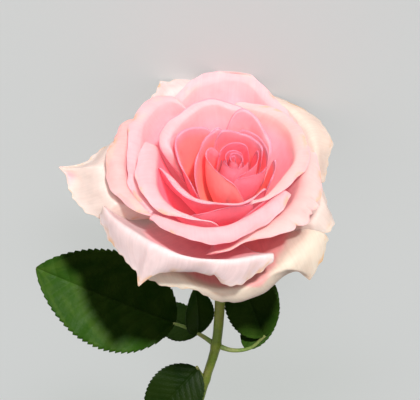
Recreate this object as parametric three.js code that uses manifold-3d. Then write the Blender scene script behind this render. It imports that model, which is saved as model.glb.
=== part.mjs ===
// A cut rose lying on a table: a pink double bloom with cream outer petals, on a leafy stem.
//
// Everything is first made in the flower's own frame: the origin is the middle of the receptacle,
// +Z is the flower's axis towards its face, +Y is the side that ends up on the table, and azimuths
// run from +X towards +Y. The finished rose is then laid down, with its face towards -Y.
import * as THREE from "three";
import { mergeVertices } from "three/addons/utils/BufferGeometryUtils.js";
import Module from "manifold-3d";

const wasm = await Module();
wasm.setup();

// Driving dimensions, in millimetres and degrees.
const STEM_LENGTH = 350; // from the receptacle to the cut
const LIE_TILT = 6.7; // the flower's axis above the table
const LIE_HEIGHT = 43.6; // the receptacle above the table
const SEAT_GAP = 0.3; // between pieces that touch
const PETAL_THICKNESS = 0.7;
const LEAF_THICKNESS = 0.7;

const DEG = Math.PI / 180;
const UP_FROM_TABLE = new THREE.Vector3(0, -Math.cos(LIE_TILT * DEG), Math.sin(LIE_TILT * DEG));

// The height of a point of the flower above the table.
const aboveTable = (p) => LIE_HEIGHT + UP_FROM_TABLE.dot(p);

// Lifts a point that would be under the table, as a petal is pressed flat by what it lies on.
function pressed(p, clearance) {
  const short = clearance - aboveTable(p);
  return short > 0 ? p.addScaledVector(UP_FROM_TABLE, short) : p;
}

const clamp = THREE.MathUtils.clamp;
const ray = (azimuth, r, z) => new THREE.Vector3(r * Math.cos(azimuth), r * Math.sin(azimuth), z);

// Reads values given at equal steps smoothly at share, from 0 to 1.
function spread(values, share) {
  if (typeof values === "number") return values;
  if (values.length === 1) return values[0];
  const last = values.length - 1;
  const x = clamp(share, 0, 1) * last;
  const i = Math.min(Math.floor(x), last - 1);
  const t = x - i;
  const p1 = values[i];
  const p2 = values[i + 1];
  const p0 = i > 0 ? values[i - 1] : 2 * p1 - p2;
  const p3 = i + 2 <= last ? values[i + 2] : 2 * p2 - p1;
  const cubic = 3 * p1 - p0 - 3 * p2 + p3;
  return 0.5 * (2 * p1 + (p2 - p0) * t + (2 * p0 - 5 * p1 + 4 * p2 - p3) * t * t + cubic * t ** 3);
}

const bezier = (a, b, c, d, t) =>
  (1 - t) ** 3 * a + 3 * (1 - t) ** 2 * t * b + 3 * (1 - t) * t * t * c + t ** 3 * d;

// Closed solids

function solid(points, triangles) {
  const mesh = new wasm.Mesh({
    numProp: 3,
    vertProperties: new Float32Array(points.flatMap((p) => [p.x, p.y, p.z])),
    triVerts: new Uint32Array(triangles.flat()),
  });
  const made = new wasm.Manifold(mesh);
  if (made.volume() >= 0) return made;
  return solid(points, triangles.map(([a, b, c]) => [a, c, b]));
}

function solidFromGeometry(geometry) {
  geometry.deleteAttribute("normal");
  geometry.deleteAttribute("uv");
  const merged = mergeVertices(geometry, 1e-4);
  const place = merged.getAttribute("position");
  const points = [];
  for (let i = 0; i < place.count; i++) points.push(new THREE.Vector3().fromBufferAttribute(place, i));
  const index = Array.from(merged.index.array);
  const triangles = [];
  for (let i = 0; i < index.length; i += 3) triangles.push(index.slice(i, i + 3));
  return solid(points, triangles.filter(([a, b, c]) => a !== b && b !== c && c !== a));
}

// Solids joined in one body, with the small hollows that joining seals filled in.
const fuse = (solids) => outermost(solids.reduce((all, next) => all.add(next)));

const outermost = (made) => made.decompose().sort((a, b) => b.volume() - a.volume())[0];

function meshOf(name, made, colour, roughness) {
  const m = made.getMesh();
  const geometry = new THREE.BufferGeometry();
  const positions = new Float32Array(m.numVert * 3);
  for (let i = 0; i < m.numVert; i++) {
    positions.set(m.vertProperties.subarray(i * m.numProp, i * m.numProp + 3), i * 3);
  }
  geometry.setAttribute("position", new THREE.BufferAttribute(positions, 3));
  geometry.setIndex(new THREE.BufferAttribute(new Uint32Array(m.triVerts), 1));
  geometry.computeVertexNormals();
  const material = new THREE.MeshStandardMaterial({ color: colour, roughness, metalness: 0 });
  const mesh = new THREE.Mesh(geometry, material);
  mesh.name = name;
  return mesh;
}

// A grid of points (rows of columns) given a thickness along its own normals.
function blade(grid, thickness) {
  const rows = grid.length;
  const columns = grid[0].length;
  const upper = [];
  const lower = [];
  for (let i = 0; i < rows; i++) {
    for (let j = 0; j < columns; j++) {
      const down = grid[Math.max(i - 1, 0)][j];
      const onward = grid[Math.min(i + 1, rows - 1)][j];
      const left = grid[i][Math.max(j - 1, 0)];
      const right = grid[i][Math.min(j + 1, columns - 1)];
      const normal = onward.clone().sub(down).cross(right.clone().sub(left)).normalize();
      const a = grid[i][j].clone().addScaledVector(normal, thickness / 2);
      const b = grid[i][j].clone().addScaledVector(normal, -thickness / 2);
      const aIsLow = aboveTable(a) < aboveTable(b);
      upper.push(pressed(a, aIsLow ? 0 : thickness));
      lower.push(pressed(b, aIsLow ? thickness : 0));
    }
  }
  const total = rows * columns;
  const at = (i, j) => i * columns + j;
  const triangles = [];
  for (let i = 0; i + 1 < rows; i++) {
    for (let j = 0; j + 1 < columns; j++) {
      const [a, b, c, d] = [at(i, j), at(i, j + 1), at(i + 1, j + 1), at(i + 1, j)];
      triangles.push([a, b, c], [a, c, d]);
      triangles.push([total + a, total + c, total + b], [total + a, total + d, total + c]);
    }
  }
  const border = [];
  for (let j = 0; j < columns; j++) border.push(at(0, j));
  for (let i = 1; i < rows; i++) border.push(at(i, columns - 1));
  for (let j = columns - 2; j >= 0; j--) border.push(at(rows - 1, j));
  for (let i = rows - 2; i > 0; i--) border.push(at(i, 0));
  border.forEach((a, k) => {
    const b = border[(k + 1) % border.length];
    triangles.push([b, a, total + a], [b, total + a, total + b]);
  });
  return solid([...upper, ...lower], triangles);
}

// A round stalk along a curve, with its radius given along it.
function stalk(curve, radii, sides, steps) {
  const frames = curve.computeFrenetFrames(steps, false);
  const points = [];
  const triangles = [];
  for (let i = 0; i <= steps; i++) {
    const middle = curve.getPointAt(i / steps);
    const radius = spread(radii, i / steps);
    for (let k = 0; k < sides; k++) {
      const a = (2 * Math.PI * k) / sides;
      const p = middle.clone();
      p.addScaledVector(frames.normals[i], radius * Math.cos(a));
      p.addScaledVector(frames.binormals[i], radius * Math.sin(a));
      points.push(pressed(p, 0));
    }
  }
  for (let i = 0; i < steps; i++) {
    for (let k = 0; k < sides; k++) {
      const a = i * sides + k;
      const b = i * sides + ((k + 1) % sides);
      triangles.push([a, b, b + sides], [a, b + sides, a + sides]);
    }
  }
  for (let k = 1; k + 1 < sides; k++) {
    triangles.push([0, k + 1, k], [steps * sides, steps * sides + k, steps * sides + k + 1]);
  }
  return solid(points, triangles);
}

const curveThrough = (points) => new THREE.CatmullRomCurve3(points.map((p) => new THREE.Vector3(...p)));

// Petals
//
// A petal runs from its foot near the axis up to a crest, where it is steepest, and from there over
// a lip that rolls outwards to its edge. Lists are read at equal steps from one side to the other.

const BODY_ROWS = [0.03, 0.28, 0.55, 0.8, 1];
const BELLY = 0.45; // how far a petal keeps the direction of its foot, as a share of its chord
const CROWN = 0.35; // and how far below its crest it takes the direction in which it arrives there
const COLUMN = { width: 6.5, fewest: 8, most: 13 }; // a petal's facets, measured round its crest
const LIP = { least: 0.3, wide: 4 }; // a lip over the wide size is bent in two steps
const LIP_CURL = 0.6; // under 1, a lip turns sharply at the crest and straightens towards its edge
const GUARD_LIP_ROWS = 3;
const TIP_SHARPNESS = 1.6;

// How much of its full height a petal has at share of its width, with its two corners rounded off.
function fullness(share, [first, second]) {
  const a = clamp(1 - share / first, 0, 1);
  const b = clamp(1 - (1 - share) / second, 0, 1);
  return Math.sqrt(1 - a * a) * Math.sqrt(1 - b * b);
}

// The rows of a column from the foot to the crest, and the direction in which it arrives there.
function bodyColumn(azimuth, crest, foot, leave, arrive, height) {
  const [r0, z0] = foot;
  const [r1, z1] = crest;
  const chord = Math.hypot(r1 - r0, z1 - z0);
  const belly = BELLY * chord;
  const crown = CROWN * chord;
  const at = (t) => [
    bezier(r0, r0 + belly * Math.cos(leave), r1 - crown * Math.cos(arrive), r1, t),
    bezier(z0, z0 + belly * Math.sin(leave), z1 - crown * Math.sin(arrive), z1, t),
  ];
  const rows = BODY_ROWS.map((v) => ray(azimuth, ...at(v * height)));
  const [ra, za] = at(height - 0.02);
  const [rb, zb] = at(height);
  return { rows, heading: Math.atan2(zb - za, rb - ra) };
}

const columnsFor = (radius, span) =>
  clamp(Math.round((radius * span * DEG) / COLUMN.width), COLUMN.fewest, COLUMN.most);

function petal(shape) {
  const { span, radius, height, lip, turn, foot, leave, arrive } = shape;
  const { corner = [0.16, 0.16], low = 0.6 } = shape;
  const columns = columnsFor(spread(radius, 0.5), Math.abs(span[1] - span[0]));
  const lipRows = Math.max(...[lip].flat()) > LIP.wide ? 2 : 1;
  const grid = [];
  for (let j = 0; j <= columns; j++) {
    const share = j / columns;
    const azimuth = THREE.MathUtils.lerp(...span, share) * DEG;
    const full = fullness(share, corner);
    const crest = [spread(radius, share), spread(height, share)];
    const arriving = spread(arrive, share) * DEG;
    const body = bodyColumn(azimuth, crest, foot, leave * DEG, arriving, low + (1 - low) * full);
    const width = Math.max(spread(lip, share) * full, LIP.least);
    const point = body.rows.at(-1).clone();
    const rows = body.rows;
    for (let k = 0; k < lipRows; k++) {
      const turned = spread(turn, share) * DEG * ((k + 0.5) / lipRows) ** LIP_CURL;
      const heading = body.heading - turned;
      point.add(ray(azimuth, Math.cos(heading), Math.sin(heading)).multiplyScalar(width / lipRows));
      rows.push(point.clone());
    }
    grid.push(rows);
  }
  return blade(transposed(grid), PETAL_THICKNESS);
}

const transposed = (columns) => columns[0].map((_, i) => columns.map((column) => column[i]));

// An outer petal, with its crest and its rim each given as [azimuth, radius, height] at equal steps.
function guardPetal(shape) {
  const { crest, rim, foot, leave, arrive, droop, corner, tip } = shape;
  const { swell = [0.35, 0.35], low = 0.55 } = shape;
  const part = (list, k) => list.map((p) => p[k]);
  const read = (list, share) => [0, 1, 2].map((k) => spread(part(list, k), share));
  const [, middleRadius] = read(rim, 0.5);
  const columns = columnsFor(middleRadius, Math.abs(rim.at(-1)[0] - rim[0][0]));
  const grid = [];
  for (let j = 0; j <= columns; j++) {
    const share = j / columns;
    const full = fullness(share, corner);
    const [ca, cr, cz] = read(crest, share);
    const [ea, er, ez] = read(rim, share);
    const arriving = spread(arrive, share) * DEG;
    const body = bodyColumn(ca * DEG, [cr, cz], foot, leave * DEG, arriving, low + (1 - low) * full);
    const start = body.rows.at(-1);
    const end = ray(ea * DEG, er, ez).sub(ray(ca * DEG, cr, cz)).multiplyScalar(full).add(start);
    const falling = spread(droop, share) * DEG;
    const down = ray(ea * DEG, Math.cos(falling), Math.sin(falling));
    if (tip) {
      const [place, length, half] = tip;
      const near = clamp(1 - Math.abs(share - place) / half, 0, 1);
      end.addScaledVector(down, length * near ** TIP_SHARPNESS);
    }
    const reach = start.distanceTo(end);
    const rise = ray(ca * DEG, Math.cos(body.heading), Math.sin(body.heading));
    const curve = new THREE.CubicBezierCurve3(
      start,
      start.clone().addScaledVector(rise, swell[0] * reach),
      end.clone().addScaledVector(down, -swell[1] * reach),
      end,
    );
    const rows = body.rows;
    for (let k = 1; k <= GUARD_LIP_ROWS; k++) rows.push(curve.getPoint(k / GUARD_LIP_ROWS));
    grid.push(rows);
  }
  return blade(transposed(grid), PETAL_THICKNESS);
}

// Pink petals, from the closed button in the middle outwards. Span is in degrees of azimuth.
const BUTTON = [
  {
    span: [60, 330],
    radius: [1.3, 1.8, 2],
    height: [40, 40.5, 39.5],
    foot: [0.8, 10],
    leave: 80,
  },
  {
    span: [-80, 170],
    radius: [3, 2.8, 2.4],
    height: [39.5, 40.5, 41],
    foot: [1, 8],
    leave: 75,
  },
  {
    span: [20, 240],
    radius: [3.9, 3.7, 4],
    height: [40, 41.3, 41],
    foot: [1.5, 8],
    leave: 70,
  },
  {
    span: [180, 375],
    radius: [4.6, 5, 4.9, 5.4],
    height: [41.5, 40.5, 40, 41],
    foot: [2, 6],
    leave: 65,
  },
  {
    span: [35, 190],
    radius: [7.2, 6.8, 6.4, 6.2, 6.4],
    height: [42, 42.6, 42.6, 42.2, 41.6],
    foot: [2, 6],
    leave: 62,
  },
].map((p) => ({ lip: 0.8, turn: 50, arrive: 92, ...p }));

// The petals wrapped round the button.
const HEART = [
  {
    span: [-92, 45],
    radius: [9.6, 8.2, 8.2, 8.8, 9.3, 9.6],
    height: [39.4, 40.3, 40.8, 41.3, 42, 42.3],
  },
  {
    span: [-97, -2],
    radius: [11.4, 9.9, 10.5, 12.4, 13],
    height: [38.5, 39.9, 40.4, 41, 42],
  },
  {
    span: [142, 298],
    radius: [5.2, 10.4, 11.6, 10.7, 10.5, 10.9, 12.6, 19],
    height: [41.5, 42, 41.9, 41.3, 40.8, 40.2, 39, 35],
    turn: 60,
  },
  {
    span: [8, 142],
    radius: [10.8, 11.4, 10.8, 10.6, 12, 12.6],
    height: [42, 42.5, 43.2, 43.7, 44, 43.6],
    lip: 1.6,
    turn: 70,
  },
  {
    span: [-6, 98],
    radius: [13.2, 12.9, 12.8, 12.8, 12.4, 12.2],
    height: [41.5, 43, 43.5, 44, 44.3, 44],
    lip: 0.9,
    turn: 60,
  },
].map((p) => ({ lip: 1.1, turn: 45, foot: [2, 6.5], leave: 60, arrive: 89, ...p }));

const CUP = [
  {
    span: [108, 233],
    radius: [12.6, 13.2, 13.4, 14, 15.2, 17.8, 21.5],
    height: [44.5, 44.5, 44, 43.1, 42.2, 40.7, 38.5],
    lip: [2.5, 1.2, 0.8],
    turn: [80, 50, 40],
    foot: [3, 5.5],
    leave: 52,
    arrive: 80,
  },
  {
    span: [-32, 8],
    radius: [17.1, 16.6, 16.2, 14.9],
    height: [40, 40.7, 41.5, 42.5],
    lip: 0.8,
    turn: 60,
    foot: [3, 5.5],
    leave: 52,
    arrive: 84,
  },
  {
    span: [128, 236],
    radius: [12, 16.2, 21.6, 24, 23.1, 22.2, 22.2, 22.4],
    height: [45, 45.5, 45.2, 44.8, 43.4, 42.3, 40.8, 39],
    lip: [2, 2, 1.5, 0.8],
    turn: [60, 70, 60, 40],
    foot: [3.5, 5.2],
    leave: 40,
    arrive: 75,
  },
];

const MIDDLE = [
  {
    span: [8, 106],
    radius: [14.2, 14.2, 15, 16, 18.4, 21.4, 22.6, 21.8],
    height: [41, 42.1, 42.7, 43.3, 43.8, 44.4, 44.5, 43.6],
    lip: 1.5,
    turn: 60,
    foot: [3.5, 5.2],
    leave: 42,
    arrive: 76,
    corner: [0.16, 0.2],
  },
  {
    span: [193, 324],
    radius: [31, 26.6, 25.3, 24.9, 22.9, 21.6, 20.9, 19.3, 18, 17.4],
    height: [39.5, 38.4, 38, 38, 38, 38, 38.2, 38.5, 39, 39.5],
    lip: [1, 2.2, 1.8, 1.6, 2.2, 1.6],
    turn: [80, 90, 90, 90, 80, 70],
    foot: [3, 4.5],
    leave: 40,
    arrive: 82,
    corner: [0.03, 0.08],
  },
  {
    span: [235, 297.5],
    radius: [31.8, 28.8, 24.2, 22, 21.8, 21.6],
    height: [34, 35.6, 36.6, 37, 37.3, 37.8],
    lip: 0.8,
    turn: 30,
    foot: [3, 4.5],
    leave: 35,
    arrive: 80,
    corner: [0.16, 0.05],
  },
  {
    span: [265, 318],
    radius: [30, 27, 23.8, 22.3, 21.6],
    height: [33, 34.4, 36, 37.5, 37.6],
    lip: 0.8,
    turn: 30,
    foot: [3, 4.5],
    leave: 35,
    arrive: 80,
  },
  {
    span: [80, 189],
    radius: [22.6, 23.6, 24.2, 26.2, 27, 26.4, 25.9, 26.1, 27.2, 27.8, 25.5],
    height: [42, 43, 43.5, 44.4, 44.5, 44.5, 44.5, 43.9, 43.4, 42.6, 40],
    lip: [2, 3, 3.5, 3.5, 3],
    turn: [60, 70, 80, 100, 110],
    foot: [3, 4.5],
    leave: 36,
    arrive: 70,
    corner: [0.08, 0.06],
  },
];

// The widest pink petals, with their lips rolled out.
const OUTER = [
  {
    span: [-72, 104],
    radius: [20, 20.9, 20.1, 20.7, 23.8, 25.1, 27, 27.6, 26.5, 26],
    height: [38.4, 38.6, 39, 39.8, 41, 42, 42, 42, 42, 41],
    lip: [2, 2.5, 4, 6, 6.5, 5, 4, 3, 3],
    turn: [90, 90, 80, 50, 40],
    foot: [3, 3.5],
    leave: 35,
    arrive: [78, 78, 74, 66, 64],
    corner: [0.04, 0.06],
  },
  {
    span: [174, 266],
    radius: [32.1, 31.1, 32.3, 34.5, 34, 32, 30.3, 28],
    height: [41, 40.6, 39.6, 38, 36.4, 35.7, 35.3, 35],
    lip: [4, 8, 9.5, 8, 6, 2.5, 0.8, 0.4],
    turn: [60, 100, 110, 100],
    foot: [3, 3.5],
    leave: 30,
    arrive: 75,
    corner: [0.06, 0.12],
  },
  {
    span: [222, 337],
    radius: [40.5, 37.2, 34.6, 30.6, 25.8, 23.3, 22, 22.5],
    height: [33.8, 35.4, 36, 36.2, 36.2, 36.3, 36.6, 37],
    lip: [3, 8, 9, 9, 8, 4],
    turn: [100, 120, 125, 120, 100],
    foot: [3, 3.5],
    leave: 28,
    arrive: 75,
    corner: [0.03, 0.05],
  },
  {
    span: [124, 226],
    radius: [33.1, 41.6, 41.5, 40.6, 38.3, 37.6, 38.8, 38, 37],
    height: [37, 38, 38, 37.6, 36.6, 36, 35, 33.6, 32],
    lip: [3, 6, 6, 6, 5, 4],
    turn: 80,
    foot: [4, 2.8],
    leave: 25,
    arrive: 60,
    corner: [0.08, 0.05],
  },
  {
    span: [47, 138],
    radius: [35.5, 36, 36.8, 39.4, 44.2, 45.7, 43.8, 42.9, 40, 38],
    height: [31, 33, 34.6, 36, 37.8, 38, 38, 37.4, 35.5, 33],
    lip: [4, 5, 6, 5, 4],
    turn: 50,
    foot: [4, 2.8],
    leave: 25,
    arrive: 56,
    corner: [0.07, 0.07],
  },
  {
    span: [146, 226],
    radius: [43.5, 45, 43.3, 43.9, 44.2, 43.3, 39.8, 35],
    height: [32.5, 34, 35, 35.9, 35.6, 34.1, 33, 32],
    lip: [3, 7, 8, 8, 7, 5],
    turn: 100,
    foot: [4, 2],
    leave: 22,
    arrive: 60,
    corner: [0.12, 0.06],
  },
  {
    span: [257, 396],
    radius: [37.8, 34.1, 29.2, 30.5, 31.7, 32, 30.8, 29.2, 28.1, 27.5],
    height: [25, 26.5, 29, 30.7, 33, 34.3, 35.6, 36.5, 37, 36.5],
    lip: [0.6, 3, 5.5, 7, 6.5, 5, 4],
    turn: [60, 100, 100, 90, 70],
    foot: [4, 2],
    leave: 22,
    arrive: 64,
    corner: [0.06, 0.08],
  },
];

// Cream outer petals, each with its crest and its rim as [azimuth, radius, height].
const GUARDS = [
  {
    // Front: its rim is rolled over, on both sides of a sharp point.
    crest: [
      [198, 54.5, 25],
      [221, 51, 31],
      [237, 49.5, 33],
      [250, 48.5, 33],
      [263, 46.5, 33],
      [277, 43.5, 32],
      [300, 40, 29],
    ],
    rim: [
      [199.5, 56, 24.5],
      [225, 58, 24],
      [239, 58, 22.5],
      [248, 52, 25.5],
      [263, 48.5, 26],
      [276.5, 50, 22.5],
      [298, 44, 29],
    ],
    arrive: [50, 52, 58, 62, 58, 52, 50],
    droop: [-40, -60, -60, -115, -110, -70, -60],
    swell: [0.5, 0.35],
    corner: [0.04, 0.1],
    tip: [0.33, 5, 0.06],
  },
  {
    // Left: spread wide, with its point turned up.
    crest: [[162, 50, 29], [174, 50, 30], [186, 50, 30], [196, 49, 29], [206, 47, 27]],
    rim: [[164, 53, 26], [174, 59, 24], [182, 66, 22], [192, 64.5, 20], [208, 53, 20]],
    arrive: 25,
    droop: [-20, -5, 20, -15, -40],
    corner: [0.1, 0.06],
    tip: [0.47, 5, 0.12],
  },
  {
    // Back left: its point is pressed on the table.
    crest: [[142, 45, 34], [130, 46, 34], [118, 46, 34], [102, 44, 33]],
    rim: [[141, 50, 32], [129, 55, 32], [119, 55, 33], [103, 50, 33]],
    arrive: 38,
    droop: -10,
    corner: [0.15, 0.1],
    tip: [0.4, 3, 0.15],
  },
  {
    // Back right.
    crest: [[92, 43, 32], [70, 42, 32], [51, 40, 32], [34, 37, 32], [16, 34, 30]],
    rim: [
      [88, 47, 31],
      [68, 48.5, 31],
      [51, 51.5, 28],
      [38, 49.5, 27],
      [25, 43, 25],
      [8, 37, 24],
    ],
    arrive: 35,
    droop: -35,
    corner: [0.12, 0.06],
  },
  {
    // Right.
    crest: [[16, 34, 27], [2, 35, 27], [-12, 36, 26], [-27, 36, 24]],
    rim: [[14, 36, 25], [-2, 39, 23], [-14, 44, 20], [-27, 40, 20]],
    arrive: 35,
    droop: -40,
    corner: [0.08, 0.08],
    tip: [0.6, 2, 0.2],
  },
  {
    // Front right: it hangs low, with its rim rolled under.
    crest: [
      [238, 41, 13],
      [254, 40, 9],
      [270, 41, 9],
      [285, 40, 11],
      [300, 37.5, 15],
      [318, 36, 19],
      [340, 36, 22],
    ],
    rim: [
      [238, 49, 11.5],
      [256, 44, 8],
      [272, 44, 4],
      [288, 43, 4],
      [311, 40, 9],
      [320, 46.5, 12],
      [331, 46.5, 16],
      [344, 42, 20],
    ],
    leave: 5,
    arrive: 35,
    droop: [-60, -80, -100, -120, -110, -70, -60, -50],
    swell: [0.45, 0.4],
    corner: [0.1, 0.07],
    tip: [0.704, 4.5, 0.07],
  },
  {
    // Underneath: folded back, it lies flat on the table and carries the flower's weight.
    crest: [[112, 46, 24], [98, 46.5, 25], [82, 47, 25], [64, 51, 24], [48, 48, 24]],
    rim: [[112, 46, 13], [98, 47, 11], [82, 48, 10], [64, 52, 11], [48, 49, 14]],
    leave: 0,
    arrive: 60,
    droop: -90,
    corner: [0.15, 0.15],
  },
].map((p) => ({ foot: [5, -0.3], leave: 15, ...p }));

// The receptacle: the lower ring carries the cream petals and the core above it the pink ones.
const RING = { radius: 7.5, bottom: -1.2, top: 0.6 };
const CORE_PROFILE = [[6.5, RING.top + SEAT_GAP], [7.5, 3], [7, 8], [5, 13], [2.5, 16], [0.4, 17]];

function turned(profile, segments) {
  const outline = [[0, profile[0][1]], ...profile, [0, profile.at(-1)[1]]];
  const lathe = new THREE.LatheGeometry(outline.map(([r, z]) => new THREE.Vector2(r, z)), segments);
  return solidFromGeometry(lathe.rotateX(Math.PI / 2));
}

function makeBloom() {
  const petals = [...BUTTON, ...HEART, ...CUP, ...MIDDLE, ...OUTER].map(petal);
  return fuse([turned(CORE_PROFILE, 14), ...petals]);
}

function makeGuards() {
  const ring = turned([[RING.radius, RING.bottom], [RING.radius, RING.top]], 20);
  return fuse([ring, ...GUARDS.map(guardPetal)]);
}

// Hip and sepals

const HIP_PROFILE = [[2.6, -13.5], [4.6, -11], [5.6, -7], [5.1, -3.5], [5.9, RING.bottom - SEAT_GAP]];
const HIP_BOTTOM = HIP_PROFILE[0][1];
const SEPAL = { count: 5, first: 20, thickness: 0.9, keel: 0.6, halfWidth: [3.2, 3.8, 3.1, 1.9, 0.3] };
const SEPAL_PATH = [[3.5, -3.2], [10, -3.4], [17, -5.5], [22.5, -10.5], [25, -17]];

function sepal(azimuth) {
  const side = ray(azimuth + Math.PI / 2, 1, 0);
  const grid = SEPAL_PATH.map(([r, z], i) =>
    [-1, 0, 1].map((across) => {
      const p = ray(azimuth, r, across === 0 ? z - SEPAL.keel : z);
      return p.addScaledVector(side, across * SEPAL.halfWidth[i]);
    }),
  );
  return blade(grid, SEPAL.thickness);
}

function makeCalyx() {
  const sepals = [];
  for (let k = 0; k < SEPAL.count; k++) sepals.push(sepal((SEPAL.first + (360 * k) / SEPAL.count) * DEG));
  return fuse([turned(HIP_PROFILE, 16), ...sepals]);
}

// Stem

const STEM_POINTS = [
  [0, 0, HIP_BOTTOM - SEAT_GAP],
  [1.5, -0.5, -45],
  [3, -0.5, -90],
  [0.5, 0, -121],
  [-2, 1, -165],
  [-2, 2, -215],
  [0, 4, -265],
  [2, 4.6, -310],
  [3, 1.2, -STEM_LENGTH],
];
const STEM_RADII = [2.4, 2.3, 2.2, 1.8, 1.75, 1.8, 1.85, 1.9, 2];
const stemCurve = curveThrough(STEM_POINTS);
const PRICKLES = [[0.42, 200], [0.52, 20], [0.6, 290], [0.7, 150], [0.79, 330], [0.87, 240]];
const PRICKLE = { radius: 1.3, length: 4.2, root: 0.8, hook: 0.35 };
const STEM_SIDES = 10;
const STEM_STEPS = 30;

function prickle([share, azimuth]) {
  const middle = stemCurve.getPointAt(share);
  const down = stemCurve.getTangentAt(share);
  const out = ray(azimuth * DEG, 1, 0);
  const point = out.clone().addScaledVector(down, PRICKLE.hook).normalize();
  const cone = new THREE.ConeGeometry(PRICKLE.radius, PRICKLE.length, 5);
  cone.translate(0, PRICKLE.length / 2, 0);
  cone.applyQuaternion(new THREE.Quaternion().setFromUnitVectors(new THREE.Vector3(0, 1, 0), point));
  const root = middle.addScaledVector(out, spread(STEM_RADII, share) - PRICKLE.root);
  cone.translate(root.x, root.y, root.z);
  return solidFromGeometry(cone);
}

const makeStem = () =>
  fuse([stalk(stemCurve, STEM_RADII, STEM_SIDES, STEM_STEPS), ...PRICKLES.map(prickle)]);

// The room that the stem takes with the gap round it, which is cut out of each leaf's stalk.
const stemRoom = () =>
  stalk(stemCurve, STEM_RADII.map((r) => r + SEAT_GAP), STEM_SIDES, STEM_STEPS);

// Leaves
//
// Each leaf has a stalk that starts on the stem's axis, and saw-edged leaflets with their upper side
// towards face.

const LEAF_BASE_SHARE = 0.6; // how blunt a leaflet is at its base
const LEAF_TIP_SHARE = 0.8; // and how drawn out at its tip
const LEAF_ARCH = 0.06; // of its length
const LEAF_FOLD = 0.16; // how steeply its two halves rise from the midrib
const LEAST_HALF_WIDTH = 0.8;
const TOOTH = { place: 0.8, reach: 0.035 }; // its point's share of its step, and its reach per width
const STALK_RADII = [1.2, 0.9, 0.7];
const LEAVES = {
  leaf_left: {
    stalk: [[3, -0.5, -90], [-3, 0.5, -86], [-10, 0.5, -81], [-18, 0, -77]],
    leaflets: [
      { from: [-17, 0, -77.3], to: [-83, 10.5, -62], face: [-0.05, -0.66, 0.75], width: 44, teeth: 13 },
      { from: [-6, 0.5, -84], to: [-10, 9, -60], face: [0.6, -0.75, 0.2], width: 15, teeth: 6 },
      { from: [-6, 0.5, -84], to: [-26, 19, -95], face: [-0.2, -0.5, 0.8], width: 17, teeth: 6 },
    ],
  },
  leaf_right: {
    stalk: [[3, -0.5, -90], [11, -1.5, -91], [19, -1, -88], [25, 2, -81]],
    leaflets: [
      { from: [24.5, 1.8, -81.5], to: [5, 21, -52], face: [0.3, -0.8, 0.55], width: 24, teeth: 9 },
      { from: [17, -1.2, -89], to: [27, 25, -72], face: [0.2, -0.6, 0.75], width: 15, teeth: 6 },
    ],
  },
  leaf_small: {
    stalk: [[0.5, 0, -121], [-2.5, -0.5, -115], [-4.5, -1.5, -108.5]],
    leaflets: [
      { from: [-4, -1.2, -110], to: [-25, -22, -130], face: [-0.05, -0.69, 0.72], width: 25, teeth: 9 },
    ],
  },
  leaf_lower: {
    stalk: [[-2, 1.2, -172], [10, -5, -163], [26, -11, -153], [44, -14, -146]],
    leaflets: [
      { from: [43, -14, -146.5], to: [88, -13, -136], face: [0, -0.95, 0.3], width: 32, teeth: 10 },
      { from: [33, -12.5, -150], to: [46, -15, -184], face: [0.1, -0.95, -0.1], width: 22, teeth: 7 },
      { from: [31, -12, -151], to: [25, -16, -124], face: [0.1, -0.95, 0.1], width: 19, teeth: 6 },
      { from: [17, -8, -159], to: [23, -13, -186], face: [0, -0.95, -0.2], width: 17, teeth: 6 },
      { from: [15, -7, -160], to: [9, -12, -137], face: [0, -0.95, 0.2], width: 15, teeth: 5 },
    ],
  },
  leaf_lowest: {
    stalk: [[-1.8, 2.3, -222], [-13, -4, -213], [-28, -9, -204], [-42, -11, -199]],
    leaflets: [
      { from: [-41, -11, -199.3], to: [-85, -8, -190], face: [0, -0.95, 0.3], width: 30, teeth: 9 },
      { from: [-30, -9.5, -203], to: [-44, -12, -234], face: [-0.1, -0.95, -0.1], width: 21, teeth: 7 },
      { from: [-26, -8.5, -205], to: [-34, -8, -174], face: [-0.1, -0.95, 0.1], width: 21, teeth: 7 },
    ],
  },
};

const leafOutline = (t) => {
  const widest = LEAF_BASE_SHARE / (LEAF_BASE_SHARE + LEAF_TIP_SHARE);
  const shape = (x) => x ** LEAF_BASE_SHARE * (1 - x) ** LEAF_TIP_SHARE;
  return shape(t) / shape(widest);
};

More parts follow.
